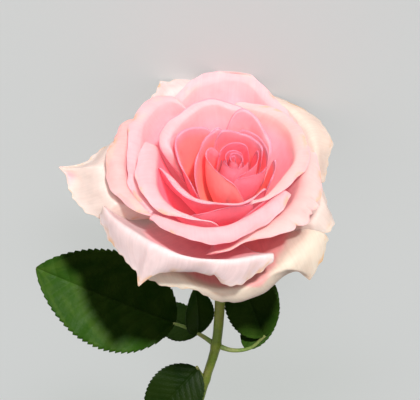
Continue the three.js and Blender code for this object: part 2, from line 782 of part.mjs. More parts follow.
// A leaflet from its base to its tip: arched along its midrib, its two halves folded up a little,
// with a tooth between each two steps of its margin.
function leaflet({ from, to, face, width, teeth }) {
  const base = new THREE.Vector3(...from);
  const along = new THREE.Vector3(...to).sub(base);
  const side = along.clone().cross(new THREE.Vector3(...face)).normalize();
  const up = side.clone().cross(along).normalize();
  const arch = LEAF_ARCH * along.length();
  const place = (t, across) =>
    base
      .clone()
      .addScaledVector(along, t)
      .addScaledVector(side, across)
      .addScaledVector(up, arch * 4 * t * (1 - t) + LEAF_FOLD * Math.abs(across));
  const halfAt = (t) => Math.max((width / 2) * leafOutline(t), LEAST_HALF_WIDTH);
  const points = [];
  const add = (p) => points.push(p) - 1;
  const middle = [];
  const notch = { left: [], right: [] };
  const tooth = { left: [], right: [] };
  for (let i = 0; i < teeth; i++) {
    const t = i / teeth;
    const tipT = (i + TOOTH.place) / teeth;
    const reach = halfAt(tipT) + TOOTH.reach * width;
    middle.push(add(place(t, 0)));
    notch.left.push(add(place(t, -halfAt(t))));
    notch.right.push(add(place(t, halfAt(t))));
    tooth.left.push(add(place(tipT, -reach)));
    tooth.right.push(add(place(tipT, reach)));
  }
  const tip = add(place(1, 0));
  middle.push(tip);
  const triangles = [];
  for (let i = 0; i < teeth; i++) {
    const [a, b] = [middle[i], middle[i + 1]];
    for (const [hand, flip] of [["left", false], ["right", true]]) {
      const [n, t, next] = [notch[hand][i], tooth[hand][i], notch[hand][i + 1]];
      const made = [[a, n, t], [a, t, b]];
      if (next !== undefined) made.push([b, t, next]);
      triangles.push(...(flip ? made.map(([p, q, r]) => [p, r, q]) : made));
    }
  }
  const margin = (hand) => notch[hand].flatMap((n, i) => [n, tooth[hand][i]]);
  const border = [middle[0], ...margin("left"), tip, ...margin("right").reverse()];
  return sheet(points, triangles, border, up, LEAF_THICKNESS);
}

// A sheet of triangles and a copy of it, thickness apart along up, closed round the border.
function sheet(points, triangles, border, up, thickness) {
  const total = points.length;
  const upper = points.map((p) => p.clone().addScaledVector(up, thickness / 2));
  const lower = points.map((p) => p.clone().addScaledVector(up, -thickness / 2));
  const walls = border.flatMap((a, k) => {
    const b = border[(k + 1) % border.length];
    return [[a, total + a, b], [b, total + a, total + b]];
  });
  const underside = triangles.map(([a, b, c]) => [total + a, total + c, total + b]);
  return solid([...upper, ...lower], [...triangles, ...underside, ...walls]);
}

function makeLeaf({ stalk: points, leaflets }, room) {
  const parts = [stalk(curveThrough(points), STALK_RADII, 6, 6), ...leaflets.map(leaflet)];
  return outermost(fuse(parts).subtract(room));
}

// Assembly

const rose = new THREE.Group();
const GREEN = 0x3f5a2c;
rose.add(meshOf("bloom", makeBloom(), 0xf0a3ad, 0.6));
rose.add(meshOf("guard_petals", makeGuards(), 0xf3dccb, 0.6));
rose.add(meshOf("calyx", makeCalyx(), 0x6c8240, 0.6));
rose.add(meshOf("stem", makeStem(), 0x66783a, 0.55));
const room = stemRoom();
for (const [name, leaf] of Object.entries(LEAVES)) rose.add(meshOf(name, makeLeaf(leaf, room), GREEN, 0.5));

// Lay the rose down, with the middle of its box over the origin and its lowest point on the table.
const lie = new THREE.Matrix4().makeBasis(
  new THREE.Vector3(-1, 0, 0),
  new THREE.Vector3(0, -Math.sin(LIE_TILT * DEG), -Math.cos(LIE_TILT * DEG)),
  new THREE.Vector3(0, -Math.cos(LIE_TILT * DEG), Math.sin(LIE_TILT * DEG)),
);
rose.setRotationFromMatrix(lie);
rose.position.z = LIE_HEIGHT;
rose.updateMatrixWorld(true);
const middle = new THREE.Box3().setFromObject(rose, true).getCenter(new THREE.Vector3());
rose.position.x -= middle.x;
rose.position.y -= middle.y;

export default rose;
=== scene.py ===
# A cut rose that lies on a table: a full pink bloom in cream outer petals, with its calyx, its
# prickly stem and five leaves.
#
# Places and sizes are in millimetres in the flower's own frame: the origin is the middle of the
# receptacle, +Z is the flower's axis towards its face, +Y is the side that ends up on the table,
# and azimuths run from +X towards +Y.
import math

import bpy
import numpy as np
from mathutils import Matrix, Vector


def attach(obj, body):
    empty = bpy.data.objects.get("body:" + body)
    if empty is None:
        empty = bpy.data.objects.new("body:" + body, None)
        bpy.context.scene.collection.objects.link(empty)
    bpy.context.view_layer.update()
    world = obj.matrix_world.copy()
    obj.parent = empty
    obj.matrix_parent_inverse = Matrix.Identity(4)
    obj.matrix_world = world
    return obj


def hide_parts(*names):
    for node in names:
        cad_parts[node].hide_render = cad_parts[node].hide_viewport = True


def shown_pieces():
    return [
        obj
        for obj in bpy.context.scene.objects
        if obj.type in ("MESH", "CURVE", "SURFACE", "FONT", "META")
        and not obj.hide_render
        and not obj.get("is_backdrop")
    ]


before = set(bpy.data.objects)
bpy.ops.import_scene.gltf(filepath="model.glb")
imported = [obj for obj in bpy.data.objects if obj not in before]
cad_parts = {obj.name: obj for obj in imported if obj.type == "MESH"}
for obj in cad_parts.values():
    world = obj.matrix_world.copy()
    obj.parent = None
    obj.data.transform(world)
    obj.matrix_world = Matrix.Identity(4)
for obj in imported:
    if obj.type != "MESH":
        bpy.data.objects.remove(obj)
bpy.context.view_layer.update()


# How the rose lies
#
# The open flower leans on its folded-back lower petals and on the cut end of its stem, so the
# flower's axis is tilted a little up from the table and its lowest petals are pressed flat.
MM = 0.001
LIE_TILT = math.radians(6.7)
RECEPTACLE = np.array((1.508, -149.426, 43.6))
LAID = np.array(
    (
        (-1, 0, 0),
        (0, -math.sin(LIE_TILT), -math.cos(LIE_TILT)),
        (0, -math.cos(LIE_TILT), math.sin(LIE_TILT)),
    )
)
UP = LAID[2]


def on_table(points):
    """Points of the flower, in millimetres where they lie on the table."""
    return points @ LAID.T + RECEPTACLE


def pressed(points, clearance):
    """Points that would be under the table are lifted onto it."""
    short = np.maximum(clearance - (points @ UP + RECEPTACLE[2]), 0)
    return points + short[..., None] * UP


# Pink petals
#
# A rose's petals grow in a spiral from the receptacle. Each is a thin cupped blade that runs from
# its foot up to a crest, where it is steepest, and from there over a lip that rolls outwards to
# the edge. Lists are read at equal steps from one side of the petal to the other.
BODY_ROWS = 22
LIP_ROWS = 12
PETAL_COLUMNS = (36, 120)  # fewest and most
COLUMN_WIDTH = 1.1
PETAL_THICKNESS = 0.45
EDGE_THICKNESS = 0.16
TAPER = 5  # a blade has its full thickness this far in from its edge
SIDE_TAPER = 0.12  # and its sides thicken as they come away from the rim
THINNEST_LIP = 0.25
FIRST_ROW = 0.03  # the very foot is inside the receptacle
BELLY = 0.45
CROWN = 0.35
LIP_CURL = 0.6  # under 1, a lip turns sharply at the crest and straightens towards its edge
LIP_RAGGEDNESS = 0.07
UNEVEN_TURN = 0.12
SHARP_EDGE = math.radians(50)
PATTERN_STEP = 190.0  # no two petals of a piece share a stretch of the skin's pattern
rng = np.random.default_rng(7)


def spread(values, share):
    """Values given at equal steps, read smoothly at each share from 0 to 1."""
    p = np.atleast_1d(np.asarray(values, float))
    if len(p) == 1:
        return np.full_like(share, p[0])
    p = np.concatenate(([2 * p[0] - p[1]], p, [2 * p[-1] - p[-2]]))
    x = np.clip(share, 0, 1) * (len(p) - 3)
    i = np.minimum(x.astype(int), len(p) - 4)
    t = x - i
    a, b, c, d = p[i], p[i + 1], p[i + 2], p[i + 3]
    cubic = 3 * b - a - 3 * c + d
    return 0.5 * (2 * b + (c - a) * t + (2 * a - 5 * b + 4 * c - d) * t**2 + cubic * t**3)


def ray(azimuth, radius, height):
    return np.stack((radius * np.cos(azimuth), radius * np.sin(azimuth), height + 0 * azimuth), -1)


def fullness(share, corner):
    """How much of its full height a petal has at share of its width: its corners are rounded."""
    first = np.clip(1 - share / corner[0], 0, 1)
    second = np.clip(1 - (1 - share) / corner[1], 0, 1)
    return np.sqrt(1 - first**2) * np.sqrt(1 - second**2)


def ripple(place, lengths):
    """An uneven wave along place, in millimetres, of the given wavelengths; about -1 to 1."""
    wave = sum(np.sin(2 * math.pi * place / n + rng.uniform(0, 2 * math.pi)) for n in lengths)
    return wave / len(lengths)


def bezier(a, b, c, d, t):
    return (1 - t) ** 3 * a + 3 * (1 - t) ** 2 * t * b + 3 * (1 - t) * t**2 * c + t**3 * d


def petal_body(azimuth, radius, height, foot, leave, arrive, top):
    """Rows from the foot to the crest, and the angle at which each column arrives there."""
    r0, z0 = foot
    chord = np.hypot(radius - r0, height - z0)
    v = np.linspace(FIRST_ROW, 1, BODY_ROWS)[:, None] * top[None, :]
    low, high = BELLY * chord, CROWN * chord
    r = bezier(r0, r0 + low * math.cos(leave), radius - high * np.cos(arrive), radius, v)
    z = bezier(z0, z0 + low * math.sin(leave), height - high * np.sin(arrive), height, v)
    heading = np.arctan2(z[-1] - z[-2], r[-1] - r[-2])
    return ray(np.broadcast_to(azimuth, r.shape), r, z), heading


def columns_for(radius, span):
    width = radius * math.radians(span)
    return int(np.clip(width / COLUMN_WIDTH, *PETAL_COLUMNS))


def pink_petal(
    span, radius, height, lip, turn, foot, leave, arrive,
    corner=(0.16, 0.16), low=0.6, flutter=0.4, curl=LIP_CURL, tears=(),
):
    """Grid of points: rows from the foot to the edge, columns from one side to the other.

    Each tear is given as its place across the petal, its depth, and half its width.
    """
    share = np.linspace(0, 1, columns_for(max(np.atleast_1d(radius)), abs(span[1] - span[0])))
    azimuth = np.radians(span[0] + (span[1] - span[0]) * share)
    full = fullness(share, corner)
    crest = spread(radius, share)
    arriving = np.radians(spread(arrive, share))
    rows, heading = petal_body(
        azimuth, crest, spread(height, share), foot, math.radians(leave), arriving,
        low + (1 - low) * full,
    )
    round_crest = np.cumsum(np.abs(np.gradient(azimuth)) * crest)
    ragged = 1 + LIP_RAGGEDNESS * ripple(round_crest, (29, 13, 6.1))
    width = np.maximum(spread(lip, share) * full * ragged, THINNEST_LIP)
    for place, depth, half in tears:
        width = width - depth * np.clip(1 - np.abs(share - place) / half, 0, 1)
    turned = np.radians(spread(turn, share)) * (1 + UNEVEN_TURN * ripple(round_crest, (31, 17)))
    point = rows[-1]
    lips = []
    for k in range(LIP_ROWS):
        angle = heading - turned * ((k + 0.5) / LIP_ROWS) ** curl
        point = point + ray(azimuth, np.cos(angle), np.sin(angle)) * (width / LIP_ROWS)[:, None]
        lips.append(point)
    grid = np.concatenate((rows, lips))
    rise = np.linspace(0, 1, len(grid))[:, None]
    outwards = ray(azimuth, 1, 0)
    wave = flutter * rise**3 * ripple(round_crest + 11 * rise, (23, 13, 8.3))
    return grid + wave[..., None] * outwards


def fresh_shell(grid, thick, thin):
    """A thin closed blade round a grid: its vertices, faces, and where each vertex lies on it.

    Where it lies is given as millimetres across the blade, millimetres along it, and millimetres
    in from its edge. Then come 0 for the inner side and 1 for the outer, and the distance from
    the rim alone.
    """
    rows, columns = grid.shape[:2]
    down = np.gradient(grid, axis=0)
    across = np.gradient(grid, axis=1)
    normal = np.cross(down, across)
    normal /= np.linalg.norm(normal, axis=2)[..., None] + 1e-9
    step_down = np.linalg.norm(np.diff(grid, axis=0), axis=2)
    along = np.concatenate((np.zeros((1, columns)), np.cumsum(step_down, axis=0)))
    from_rim = along[-1] - along
    step_across = np.linalg.norm(np.diff(grid, axis=1), axis=2)
    over = np.concatenate((np.zeros((rows, 1)), np.cumsum(step_across, axis=1)), axis=1)
    from_side = np.minimum(over, over[:, -1:] - over)
    edge = np.minimum(from_rim, from_side + SIDE_TAPER * from_rim)
    half = 0.5 * (thin + (thick - thin) * np.clip(edge / TAPER, 0, 1))
    one, other = grid + normal * half[..., None], grid - normal * half[..., None]
    one_is_low = one @ UP < other @ UP
    one = pressed(one, np.where(one_is_low, 0, thick))
    other = pressed(other, np.where(one_is_low, thick, 0))
    vertices = np.concatenate((one.reshape(-1, 3), other.reshape(-1, 3)))
    index = np.arange(rows * columns).reshape(rows, columns)
    a, b, c, d = index[:-1, :-1], index[:-1, 1:], index[1:, 1:], index[1:, :-1]
    inner = np.stack((a, d, c, b), -1).reshape(-1, 4)
    outer = inner[:, ::-1] + rows * columns
    ring = np.concatenate((index[0], index[1:, -1], index[-1, -2::-1], index[-2:0:-1, 0]))
    onward = np.roll(ring, -1)
    strip = np.stack((ring, onward, onward + rows * columns, ring + rows * columns), -1)
    across_middle = over - over[:, -1:] / 2
    place = np.stack((across_middle, along, edge), -1).reshape(-1, 3)
    side = np.repeat((0.0, 1.0), rows * columns)
    deep = np.tile(from_rim.ravel(), 2)
    return vertices, np.concatenate((inner, outer, strip)), np.tile(place, (2, 1)), side, deep


def smooth_mesh(name, points, faces):
    mesh = bpy.data.meshes.new(name)
    mesh.from_pydata((on_table(points) * MM).tolist(), [], faces)
    mesh.shade_smooth()
    return mesh


def give(mesh, name, kind, values):
    """A value at each vertex, which the mesh's material reads by name."""
    field = {"FLOAT": "value", "FLOAT_VECTOR": "vector", "FLOAT_COLOR": "color"}[kind]
    mesh.attributes.new(name, kind, "POINT").data.foreach_set(field, values.ravel())


def finished(name, mesh, material, node):
    mesh.materials.append(material)
    piece = bpy.data.objects.new(name, mesh)
    bpy.context.scene.collection.objects.link(piece)
    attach(piece, "root")
    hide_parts(node)


def joined(shells):
    """Several blades as one: vertices, faces, place on the blade, and inner or outer side."""
    points, faces, places, sides, _ = zip(*shells)
    starts = np.cumsum([0] + [len(p) for p in points])
    faces = np.concatenate([quads + start for quads, start in zip(faces, starts)])
    return np.concatenate(points), faces.tolist(), np.concatenate(places), np.concatenate(sides)


def petals_piece(name, node, skin, blades):
    """One object of several petals, each given as (shell, tint at each vertex)."""
    shells, tints = zip(*blades)
    points, faces, place, _ = joined(shells)
    number = np.repeat(np.arange(len(shells)), [len(tint) for tint in tints])
    place[:, 0] += number * PATTERN_STEP
    mesh = smooth_mesh(name, points, faces)
    mesh.set_sharp_from_angle(angle=SHARP_EDGE)
    give(mesh, "tint", "FLOAT_COLOR", np.insert(np.concatenate(tints), 3, 1, axis=1))
    give(mesh, "place_on_petal", "FLOAT_VECTOR", place)
    finished(name, mesh, skin, node)


def put(tree, kind, inputs=None, **settings):
    """A shader node with its settings, and its inputs as values or other nodes' outputs."""
    made = tree.nodes.new(kind)
    for key, value in settings.items():
        setattr(made, key, value)
    for key, value in (inputs or {}).items():
        if isinstance(value, bpy.types.NodeSocket):
            tree.links.new(value, made.inputs[key])
        else:
            made.inputs[key].default_value = value
    return made


def between(tree, value, low, high, to_low=0.0, to_high=1.0):
    """value taken smoothly from the range low to high into another range, and held at its ends."""
    inputs = {0: value, 1: low, 2: high, 3: to_low, 4: to_high}
    return put(tree, "ShaderNodeMapRange", inputs, interpolation_type="SMOOTHSTEP").outputs[0]


def mixed(tree, factor, a, b, way="MIX"):
    mix = put(tree, "ShaderNodeMix", data_type="RGBA", blend_type=way)
    for socket, value in ((mix.inputs[0], factor), (mix.inputs[6], a), (mix.inputs[7], b)):
        if isinstance(value, bpy.types.NodeSocket):
            tree.links.new(value, socket)
        else:
            socket.default_value = value
    return mix.outputs[2]


def scaled(tree, colour, by):
    inputs = {0: colour, "Scale": by}
    return put(tree, "ShaderNodeVectorMath", inputs, operation="SCALE").outputs[0]


def maths(tree, operation, a, b):
    return put(tree, "ShaderNodeMath", {0: a, 1: b}, operation=operation).outputs[0]


def noise(tree, vector, scale, detail=3.0, stretch=(1, 1, 1)):
    """Noise from 0 to 1 over a vector in millimetres, with scale in spots per millimetre."""
    laid = put(tree, "ShaderNodeVectorMath", {0: vector, 1: stretch}, operation="MULTIPLY")
    inputs = {"Vector": laid.outputs[0], "Scale": scale, "Detail": detail}
    return put(tree, "ShaderNodeTexNoise", inputs).outputs["Fac"]


def setting(node, values):
    for name, value in values.items():
        node.inputs[name].default_value = value


def new_skin(name):
    skin = bpy.data.materials.new(name)
    skin.use_nodes = True
    return skin, skin.node_tree, skin.node_tree.nodes["Principled BSDF"]


DRIED_BROWN = (0.55, 0.27, 0.1, 1)
FADED_TAN = (0.6, 0.4, 0.27, 1)
# the colour of the painted glow: light the petals give off, though they are no lamp
PAINTED_GLOW_COLOUR = (1.0, 0.2, 0.3, 1)
SKIN_DEPTH = 0.0022


def petal_skin(
    name, edge_line, edge_colour, stain, stain_reach, veining, crinkle, glow, painted_glow
):
    """A petal's skin: fine veins that run up it, soft mottling, and an edge that has dried.

    Petals let light through to the ones behind them, which is stood in for by a painted glow: a
    weak rosy emission that brightens their shade though they are no lamp.
    """
    skin, tree, surface = new_skin(name)
    tint = put(tree, "ShaderNodeAttribute", attribute_name="tint").outputs["Color"]
    place = put(tree, "ShaderNodeAttribute", attribute_name="place_on_petal").outputs["Vector"]
    edge = put(tree, "ShaderNodeSeparateXYZ", {0: place}).outputs["Z"]

    veins = noise(tree, place, 1.0, 2.0, (0.9, 0.045, 0))
    fine_veins = noise(tree, place, 1.0, 2.0, (3.2, 0.1, 0))
    mottle = noise(tree, place, 0.16, 4.0)
    shade = between(tree, veins, 0.3, 0.7, 1 - veining, 1 + 0.4 * veining)
    shaded = scaled(tree, tint, shade)
    patchy = between(tree, mottle, 0.35, 0.65, 0.96, 1.03)
    toned = scaled(tree, shaded, patchy)

    rim = between(tree, edge, 0.1, 0.9, edge_line, 0.0)
    lined = mixed(tree, rim, toned, (*edge_colour, 1))
    spots = between(tree, noise(tree, place, 0.13, 5.0), 0.53, 0.64)
    near_edge = between(tree, edge, 0.2, stain_reach, stain, 0.0)
    dried = maths(tree, "MULTIPLY", spots, near_edge)
    blots = between(tree, noise(tree, place, 0.08, 4.0, (1, 1.6, 1)), 0.52, 0.68)
    on_lip = between(tree, edge, 1.0, 3 * stain_reach, 0.6 * stain, 0.0)
    faded = maths(tree, "MULTIPLY", blots, on_lip)
    lined = mixed(tree, faded, lined, FADED_TAN)
    tree.links.new(mixed(tree, dried, lined, DRIED_BROWN), surface.inputs["Base Color"])

    relief = maths(tree, "ADD", veins, fine_veins)
    bump = put(tree, "ShaderNodeBump", {"Height": relief, "Distance": crinkle, "Strength": 0.6})
    tree.links.new(bump.outputs[0], surface.inputs["Normal"])
    # The emission is painted glow, not a lamp.
    setting(surface, {
        "Roughness": 0.62, "Specular IOR Level": 0.3,
        "Subsurface Weight": glow, "Subsurface Radius": (1.0, 0.7, 0.65),
        "Subsurface Scale": SKIN_DEPTH, "Sheen Weight": 0.04, "Sheen Roughness": 0.45,
        "Emission Color": PAINTED_GLOW_COLOUR, "Emission Strength": painted_glow,
    })
    return skin


FOOT_COLOUR_ENDS = 8  # millimetres up the petal
BODY_COLOUR_STARTS = 32
# how far painted shade darkens the outer side at a petal's foot
SHADED_FOOT = 0.85


def dressed(grid, foot, body, lip, lip_width, fade, outside):
    """A petal's blade, and the colour at each of its vertices.

    Its inner side has the foot colour at the bottom, then body, then lip near the edge. Its outer
    side has one colour, darkened towards the foot by painted shade. lip_width is a number, or pairs
    of (place across, width) where it changes.
    """
    shell = fresh_shell(grid, PETAL_THICKNESS, EDGE_THICKNESS)
    _, _, place, side, deep = shell
    if not np.isscalar(lip_width):
        lip_width = np.interp(place[:, 0], *zip(*lip_width))
    risen = (place[:, 1] - FOOT_COLOUR_ENDS) / (BODY_COLOUR_STARTS - FOOT_COLOUR_ENDS)
    up = np.clip(risen, 0, 1)[:, None]
    at_lip = np.clip((lip_width + fade - deep) / fade, 0, 1)[:, None]
    at_lip = at_lip**2 * (3 - 2 * at_lip)
    low = np.array(foot) + (np.array(body) - np.array(foot)) * up
    inside = low + (np.array(lip) - low) * at_lip
    outer = np.array(outside) * (SHADED_FOOT + (1 - SHADED_FOOT) * up)
    return shell, np.where(side[:, None] > 0.5, outer, inside)


FRESH_SKIN = petal_skin(
    "fresh_petal_skin", edge_line=0.6, edge_colour=(0.5, 0.12, 0.2), stain=0.0, stain_reach=2.4,
    veining=0.03, crinkle=0.00006, glow=0.8, painted_glow=0.07,
)
PINK_SKIN = petal_skin(
    "pink_petal_skin", edge_line=0.35, edge_colour=(0.7, 0.3, 0.34), stain=0.55, stain_reach=2.4,
    veining=0.035, crinkle=0.00006, glow=0.8, painted_glow=0.12,
)

# Heart of the bloom
#
# The innermost petals are still wrapped round each other in a tight button, and the next ones
# stand round it as a cup. They are the deepest pink, coral in the shade of the cup.
BUTTON_PETALS = [
    dict(span=(60, 330), radius=(1.3, 1.8, 2), height=(40, 40.5, 39.5), foot=(0.8, 10), leave=80),
    dict(span=(-80, 170), radius=(3, 2.8, 2.4), height=(39.5, 40.5, 41), foot=(1, 8), leave=75),
    dict(span=(20, 240), radius=(3.9, 3.7, 4), height=(40, 41.3, 41), foot=(1.5, 8), leave=70),
    dict(
        span=(180, 375), radius=(4.6, 5, 4.9, 5.4), height=(41.5, 40.5, 40, 41), foot=(2, 6),
        leave=65,
    ),
    dict(
        span=(35, 190), radius=(7.2, 6.8, 6.4, 6.2, 6.4), height=(42, 42.6, 42.6, 42.2, 41.6),
        foot=(2, 6), leave=62,
    ),
]
WRAPPING_PETALS = [
    dict(
        span=(-92, 45), radius=(9.6, 8.2, 8.2, 8.8, 9.3, 9.6),
        height=(39.4, 40.3, 40.8, 41.3, 42, 42.3),
    ),
    dict(
        span=(-97, -2), radius=(11.4, 9.9, 10.5, 12.4, 13), height=(38.5, 39.9, 40.4, 41, 42),
    ),
    dict(
        span=(142, 298), radius=(5.2, 10.4, 11.6, 10.7, 10.5, 10.9, 12.6, 19),
        height=(41.5, 42, 41.9, 41.3, 40.8, 40.2, 39, 35), turn=60,
    ),
    dict(
        span=(8, 142), radius=(10.8, 11.4, 10.8, 10.6, 12, 12.6),
        height=(42, 42.5, 43.2, 43.7, 44, 43.6), lip=0.9, turn=70,
    ),
    dict(
        span=(-6, 98), radius=(13.2, 12.9, 12.8, 12.8, 12.4, 12.2),
        height=(41.5, 43, 43.5, 44, 44.3, 44), lip=0.6, turn=60,
    ),
]
FRESH_OUTSIDE = (0.95, 0.2, 0.26)
# Colours of foot, body and lip, how wide the lip's is and over how much it fades, and the outside.
HEART_TINTS = ((1.0, 0.3, 0.24), (1.0, 0.13, 0.18), (0.52, 0.12, 0.17), 0.3, 4, FRESH_OUTSIDE)
PALER_TINTS = ((1.0, 0.28, 0.2), (1.0, 0.17, 0.2), (0.53, 0.2, 0.25), 0.4, 6, (1.0, 0.3, 0.28))
HEART_PETALS = [
    (HEART_TINTS, dict(lip=0.5, turn=50, arrive=92, flutter=0.12) | p) for p in BUTTON_PETALS
] + [
    (
        HEART_TINTS if k < 2 else PALER_TINTS,
        dict(lip=0.6, turn=45, foot=(2, 6.5), leave=60, arrive=89, flutter=0.3) | p,
    )
    for k, p in enumerate(WRAPPING_PETALS)
]
blades = [dressed(pink_petal(**shape), *tints) for tints, shape in HEART_PETALS]
petals_piece("heart_petals", "bloom", FRESH_SKIN, blades)

CUP_PETALS = [
    dict(
        span=(108, 233), radius=(12.6, 13.2, 13.4, 14, 15.2, 17.8, 21.5),
        height=(44.5, 44.5, 44, 43.1, 42.2, 40.7, 38.5),
        lip=(1.6, 0.8, 0.5), turn=(80, 50, 40), foot=(3, 5.5), leave=52, arrive=80,
    ),
    dict(
        span=(-32, 8), radius=(17.1, 16.6, 16.2, 14.9), height=(40, 40.7, 41.5, 42.5),
        lip=0.5, turn=60, foot=(3, 5.5), leave=52, arrive=84,
    ),
    dict(
        span=(128, 236), radius=(12, 16.2, 21.6, 24, 23.1, 22.2, 22.2, 22.4),
        height=(45, 45.5, 45.2, 44.8, 43.4, 42.3, 40.8, 39),
        lip=(1.2, 1.2, 0.9, 0.5), turn=(60, 70, 60, 40), foot=(3.5, 5.2), leave=40, arrive=75,
    ),
]
CUP_TINTS = ((1.0, 0.25, 0.13), (1.0, 0.2, 0.19), (0.53, 0.2, 0.25), 0.4, 6, FRESH_OUTSIDE)
blades = [dressed(pink_petal(**shape), *CUP_TINTS) for shape in CUP_PETALS]
petals_piece("cup_petals", "bloom", FRESH_SKIN, blades)

# Middle and outer pink petals
#
# Each whorl opens wider than the one inside it and rolls its lip further out. Their lips are a
# pale blush, and the pink deepens down into the bloom.
OPEN_OUTSIDE = (0.8, 0.33, 0.37)
DEEP = ((0.97, 0.22, 0.21), (0.94, 0.2, 0.26), (0.62, 0.31, 0.32))
PALE = ((1.0, 0.24, 0.22), (0.88, 0.37, 0.42), (0.62, 0.325, 0.335))
SUNLIT = ((1.0, 0.24, 0.22), (0.88, 0.37, 0.42), (0.61, 0.325, 0.305))
BLANCHED = ((1.0, 0.24, 0.22), (0.74, 0.34, 0.36), (0.6, 0.345, 0.32))
MAUVE = ((1.0, 0.24, 0.22), (0.88, 0.32, 0.35), (0.58, 0.27, 0.31))
MIDDLE_PETALS = [
    (MAUVE, 0.5, 8, dict(
        span=(8, 106), radius=(14.2, 14.2, 15, 16, 18.4, 21.4, 22.6, 21.8),
        height=(41, 42.1, 42.7, 43.3, 43.8, 44.4, 44.5, 43.6),
        lip=1.5, turn=60, foot=(3.5, 5.2), leave=42, arrive=76, corner=(0.16, 0.2),
    )),
    (DEEP, 1, 4, dict(
        span=(193, 324), radius=(31, 26.6, 25.3, 24.9, 22.9, 21.6, 20.9, 19.3, 18, 17.4),
        height=(39.5, 38.4, 38, 38, 38, 38, 38.2, 38.5, 39, 39.5),
        lip=(1.5, 3.6, 2.8, 1.6, 1.8, 1.3), turn=(80, 90, 90, 90, 80, 70), foot=(3, 4.5), leave=40,
        arrive=82, corner=(0.03, 0.08),
    )),
    (DEEP, 0.4, 3, dict(
        span=(235, 297.5), radius=(31.8, 28.8, 24.2, 22, 21.8, 21.6),
        height=(34, 35.6, 36.6, 37, 37.3, 37.8),
        lip=0.8, turn=30, foot=(3, 4.5), leave=35, arrive=80, corner=(0.16, 0.05),
    )),
    (DEEP, 0.4, 3, dict(
        span=(265, 318), radius=(30, 27, 23.8, 22.3, 21.6), height=(33, 34.4, 36, 37.5, 37.6),
        lip=0.8, turn=30, foot=(3, 4.5), leave=35, arrive=80,
    )),
    (PALE, ((8, 4), (20, 0)), 12, dict(
        span=(80, 186), radius=(22.6, 23.6, 24.2, 26.2, 27, 26.4, 25.9, 26.1, 26.8, 26.8, 24.5),
        height=(42, 43, 43.5, 44.4, 44.5, 44.5, 44.5, 43.9, 43.4, 42.6, 41),
        lip=(2, 3, 3.5, 4, 5.5, 5), turn=(60, 70, 80, 90, 100, 110), foot=(3, 4.5), leave=36,
        arrive=70, corner=(0.08, 0.06),
    )),
]
OUTER_PINK_PETALS = [
    (SUNLIT, 6, 7, dict(
        span=(-72, 104), radius=(20, 20.9, 20.1, 20.7, 23.8, 25.1, 27, 27.6, 26.5, 26),
        height=(38.4, 38.6, 39, 39.8, 41, 42, 42, 42, 42, 41),
        lip=(2, 2.5, 4, 6, 6.5, 5, 4, 3, 3), turn=(90, 100, 95, 60, 40), foot=(3, 3.5), leave=35,
        arrive=(78, 78, 76, 66, 64), corner=(0.04, 0.06), curl=0.35,
    )),
    (DEEP, 8, 3, dict(
        span=(174, 266), radius=(32.1, 31.1, 32.3, 34.5, 34, 32, 30.3, 28),
        height=(41, 40.6, 39.6, 38, 36.4, 35.7, 35.3, 35),
        lip=(4, 8, 9.5, 8, 6, 2.5, 0.8, 0.4), turn=(60, 100, 110, 100), foot=(3, 3.5), leave=30,
        arrive=75, corner=(0.06, 0.12),
    )),
    (DEEP, 8, 3, dict(
        span=(222, 337), radius=(40.5, 37.2, 34.6, 30.6, 25.8, 23.3, 22, 22.5),
        height=(33.8, 35.4, 36, 36.2, 36.2, 36.3, 36.6, 37),
        lip=(3, 8, 9, 9, 8, 4), turn=(100, 120, 125, 120, 100), foot=(3, 3.5), leave=28, arrive=75,
        corner=(0.03, 0.05),
    )),
    (PALE, 6, 14, dict(
        span=(124, 226), radius=(33.1, 41.6, 41.5, 40.6, 38.3, 37.6, 38.8, 38, 37),
        height=(37, 38, 38, 37.6, 36.6, 36, 35, 33.6, 32),
        lip=(3, 6, 6, 6, 5, 4), turn=80, foot=(4, 2.8), leave=25, arrive=60, corner=(0.08, 0.05),
    )),
    (PALE, 6, 14, dict(
        span=(47, 138), radius=(35.5, 36, 36.8, 39.4, 44.2, 45.7, 43.8, 42.9, 40, 38),
        height=(31, 33, 34.6, 36, 37.8, 38, 38, 37.4, 35.5, 33),
        lip=(4, 5, 6, 5, 4), turn=50, foot=(4, 2.8), leave=25, arrive=56, corner=(0.07, 0.07),
    )),
    (SUNLIT, 8, 8, dict(
        span=(146, 226), radius=(43.5, 45, 43.3, 43.9, 44.2, 43.3, 39.8, 35),
        height=(32.5, 34, 35, 35.9, 35.6, 34.1, 33, 32),
        lip=(3, 7, 8, 8, 7, 5), turn=100, foot=(4, 2), leave=22, arrive=60, corner=(0.12, 0.06),
    )),
    (BLANCHED, 13, 10, dict(
        span=(257, 396), radius=(37.8, 34.1, 28.4, 27.8, 27.6, 27.6, 27.2, 26.8, 26.8, 27),
        height=(25, 26.5, 29, 30.8, 32.6, 33.9, 35, 36, 36.9, 36.5),
        lip=(0.6, 3, 8, 11.5, 10.5, 7.5, 5), turn=(60, 100, 100, 90, 70), foot=(4, 2), leave=22,
        arrive=64, corner=(0.06, 0.08),
        tears=((0.44, 1.8, 0.02), (0.52, 1.5, 0.014), (0.55, 1.6, 0.014), (0.6, 2, 0.016)),
    )),
]
for name, skin, outside, petals in (
    ("middle_petals", FRESH_SKIN, FRESH_OUTSIDE, MIDDLE_PETALS),
    ("outer_pink_petals", PINK_SKIN, OPEN_OUTSIDE, OUTER_PINK_PETALS),
):
    blades = [
        dressed(pink_petal(**shape), *colours, lip_width, fade, outside)
        for colours, lip_width, fade, shape in petals
    ]
    petals_piece(name, "bloom", skin, blades)

